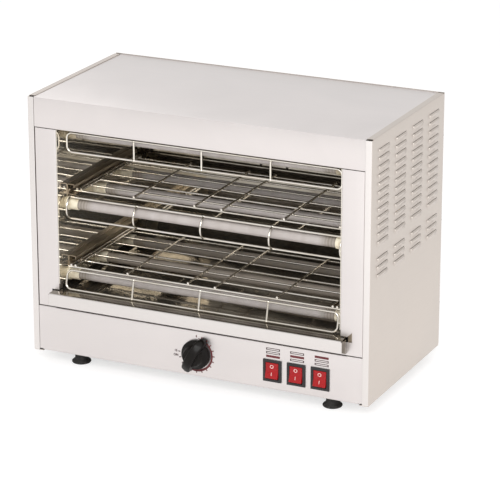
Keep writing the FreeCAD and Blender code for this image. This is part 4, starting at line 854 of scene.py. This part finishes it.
# Feet: black rubber, moulded with a thin rounded sole under a narrower neck, each held by a screw in a
# sunk seat. The rubber is matt and faintly dusty.
foot_rubber, tree, shader = material("moulded_black_rubber", "#1E1C1B", 0.72)
place = add(tree, "ShaderNodeTexCoord")
dust = add(tree, "ShaderNodeTexNoise", Vector=place.outputs["Object"], Scale=350.0, Detail=4.0)
bloom = add(tree, "ShaderNodeMapRange", Value=dust.outputs[0], From_Min=0.4, From_Max=0.8, To_Max=0.35)
dusty = add(tree, "ShaderNodeMix", {"data_type": "RGBA"}, i0=bloom.outputs[0], i6=colour("#191817"),
            i7=colour("#57524D"))
tree.links.new(dusty.outputs[2], shader.inputs["Base Color"])
for row_name, y in (("front", -97.5), ("rear", 107.5)):
    for side, side_name in ((-1, "left"), (1, "right")):
        foot = bmesh.new()
        turned(foot, [(2.2, 19.95), (2.2, 5.2), (5.2, 5.2), (5.2, 0.3), (5.6, 0.0), (11.4, 0.0), (12.7, 0.6),
                      (13.4, 1.8), (13.2, 3.0), (11.8, 4.2), (10.0, 5.4), (9.0, 7.0), (8.8, 9.0), (8.8, 19.5),
                      (8.4, 19.95)], (side * 189.0, y, 0), (0, 0, 1), 40)
        piece(f"rubber_foot_{row_name}_{side_name}", tidied(foot), foot_rubber,
              nodes=[f"foot_{row_name}_{side_name}"])


# Cable inlet: a black nylon gland in the back panel, a hexagon against the sheet and a ribbed dome
# nut that would clamp the cable. Inside are a ceramic terminal block and the sleeved loom to the tubes.
gland_x, gland_z = 170.0, 56.0
gland = bmesh.new()
for low, high, flats in ((126.0, 130.0, 22.0), (131.0, 134.5, 22.0)):
    made = bmesh.ops.create_cone(gland, cap_ends=True, segments=6, radius1=flats / 2 / math.cos(math.pi / 6),
                                 radius2=flats / 2 / math.cos(math.pi / 6), depth=high - low)["verts"]
    bmesh.ops.rotate(gland, verts=made, cent=(0, 0, 0), matrix=Matrix.Rotation(math.pi / 2, 3, "X"))
    bmesh.ops.translate(gland, verts=made, vec=(gland_x, (low + high) / 2, gland_z))
rims = [edge for edge in gland.edges if edge.calc_face_angle(0.0) > 1.2]
bmesh.ops.bevel(gland, geom=rims, offset=0.6, offset_type="OFFSET", segments=2, profile=0.5, affect="EDGES",
                material=-1, clamp_overlap=True)
turned(gland, [(4.0, 123.2), (7.4, 123.2), (7.4, 134.6), (9.6, 134.6), (9.9, 135.2), (9.9, 139.0), (9.0, 141.6),
               (7.2, 143.8), (6.0, 144.7), (4.6, 144.7), (4.0, 144.0)], (gland_x, 0, gland_z), (0, 1, 0), 48)
for vert in gland.verts:
    arm = Vector((vert.co.x - gland_x, 0, vert.co.z - gland_z))
    if 135.0 < vert.co.y < 142.0 and 8.5 < arm.length < 10.0:
        turn = math.atan2(arm.z, arm.x)
        vert.co -= arm.normalized() * (0.45 if round(turn / math.tau * 48) % 4 < 2 else 0.0)
piece("ribbed_cable_gland", tidied(gland), black_nylon, nodes=["cable_gland"], smooth=25)
dress(steatite, "terminal_block")
sleeve, tree, shader = material("braided_glass_sleeve", "#B9AE9A", 0.7)
place = add(tree, "ShaderNodeTexCoord")
braid = add(tree, "ShaderNodeTexWave", {"bands_direction": "DIAGONAL"}, Vector=place.outputs["Object"],
            Scale=160.0, Distortion=1.0)
weave = add(tree, "ShaderNodeMix", {"data_type": "RGBA"}, i0=braid.outputs[1], i6=colour("#8E8472"),
            i7=colour("#CFC6B4"))
tree.links.new(weave.outputs[2], shader.inputs["Base Color"])
dress(sleeve, "wiring_loom")
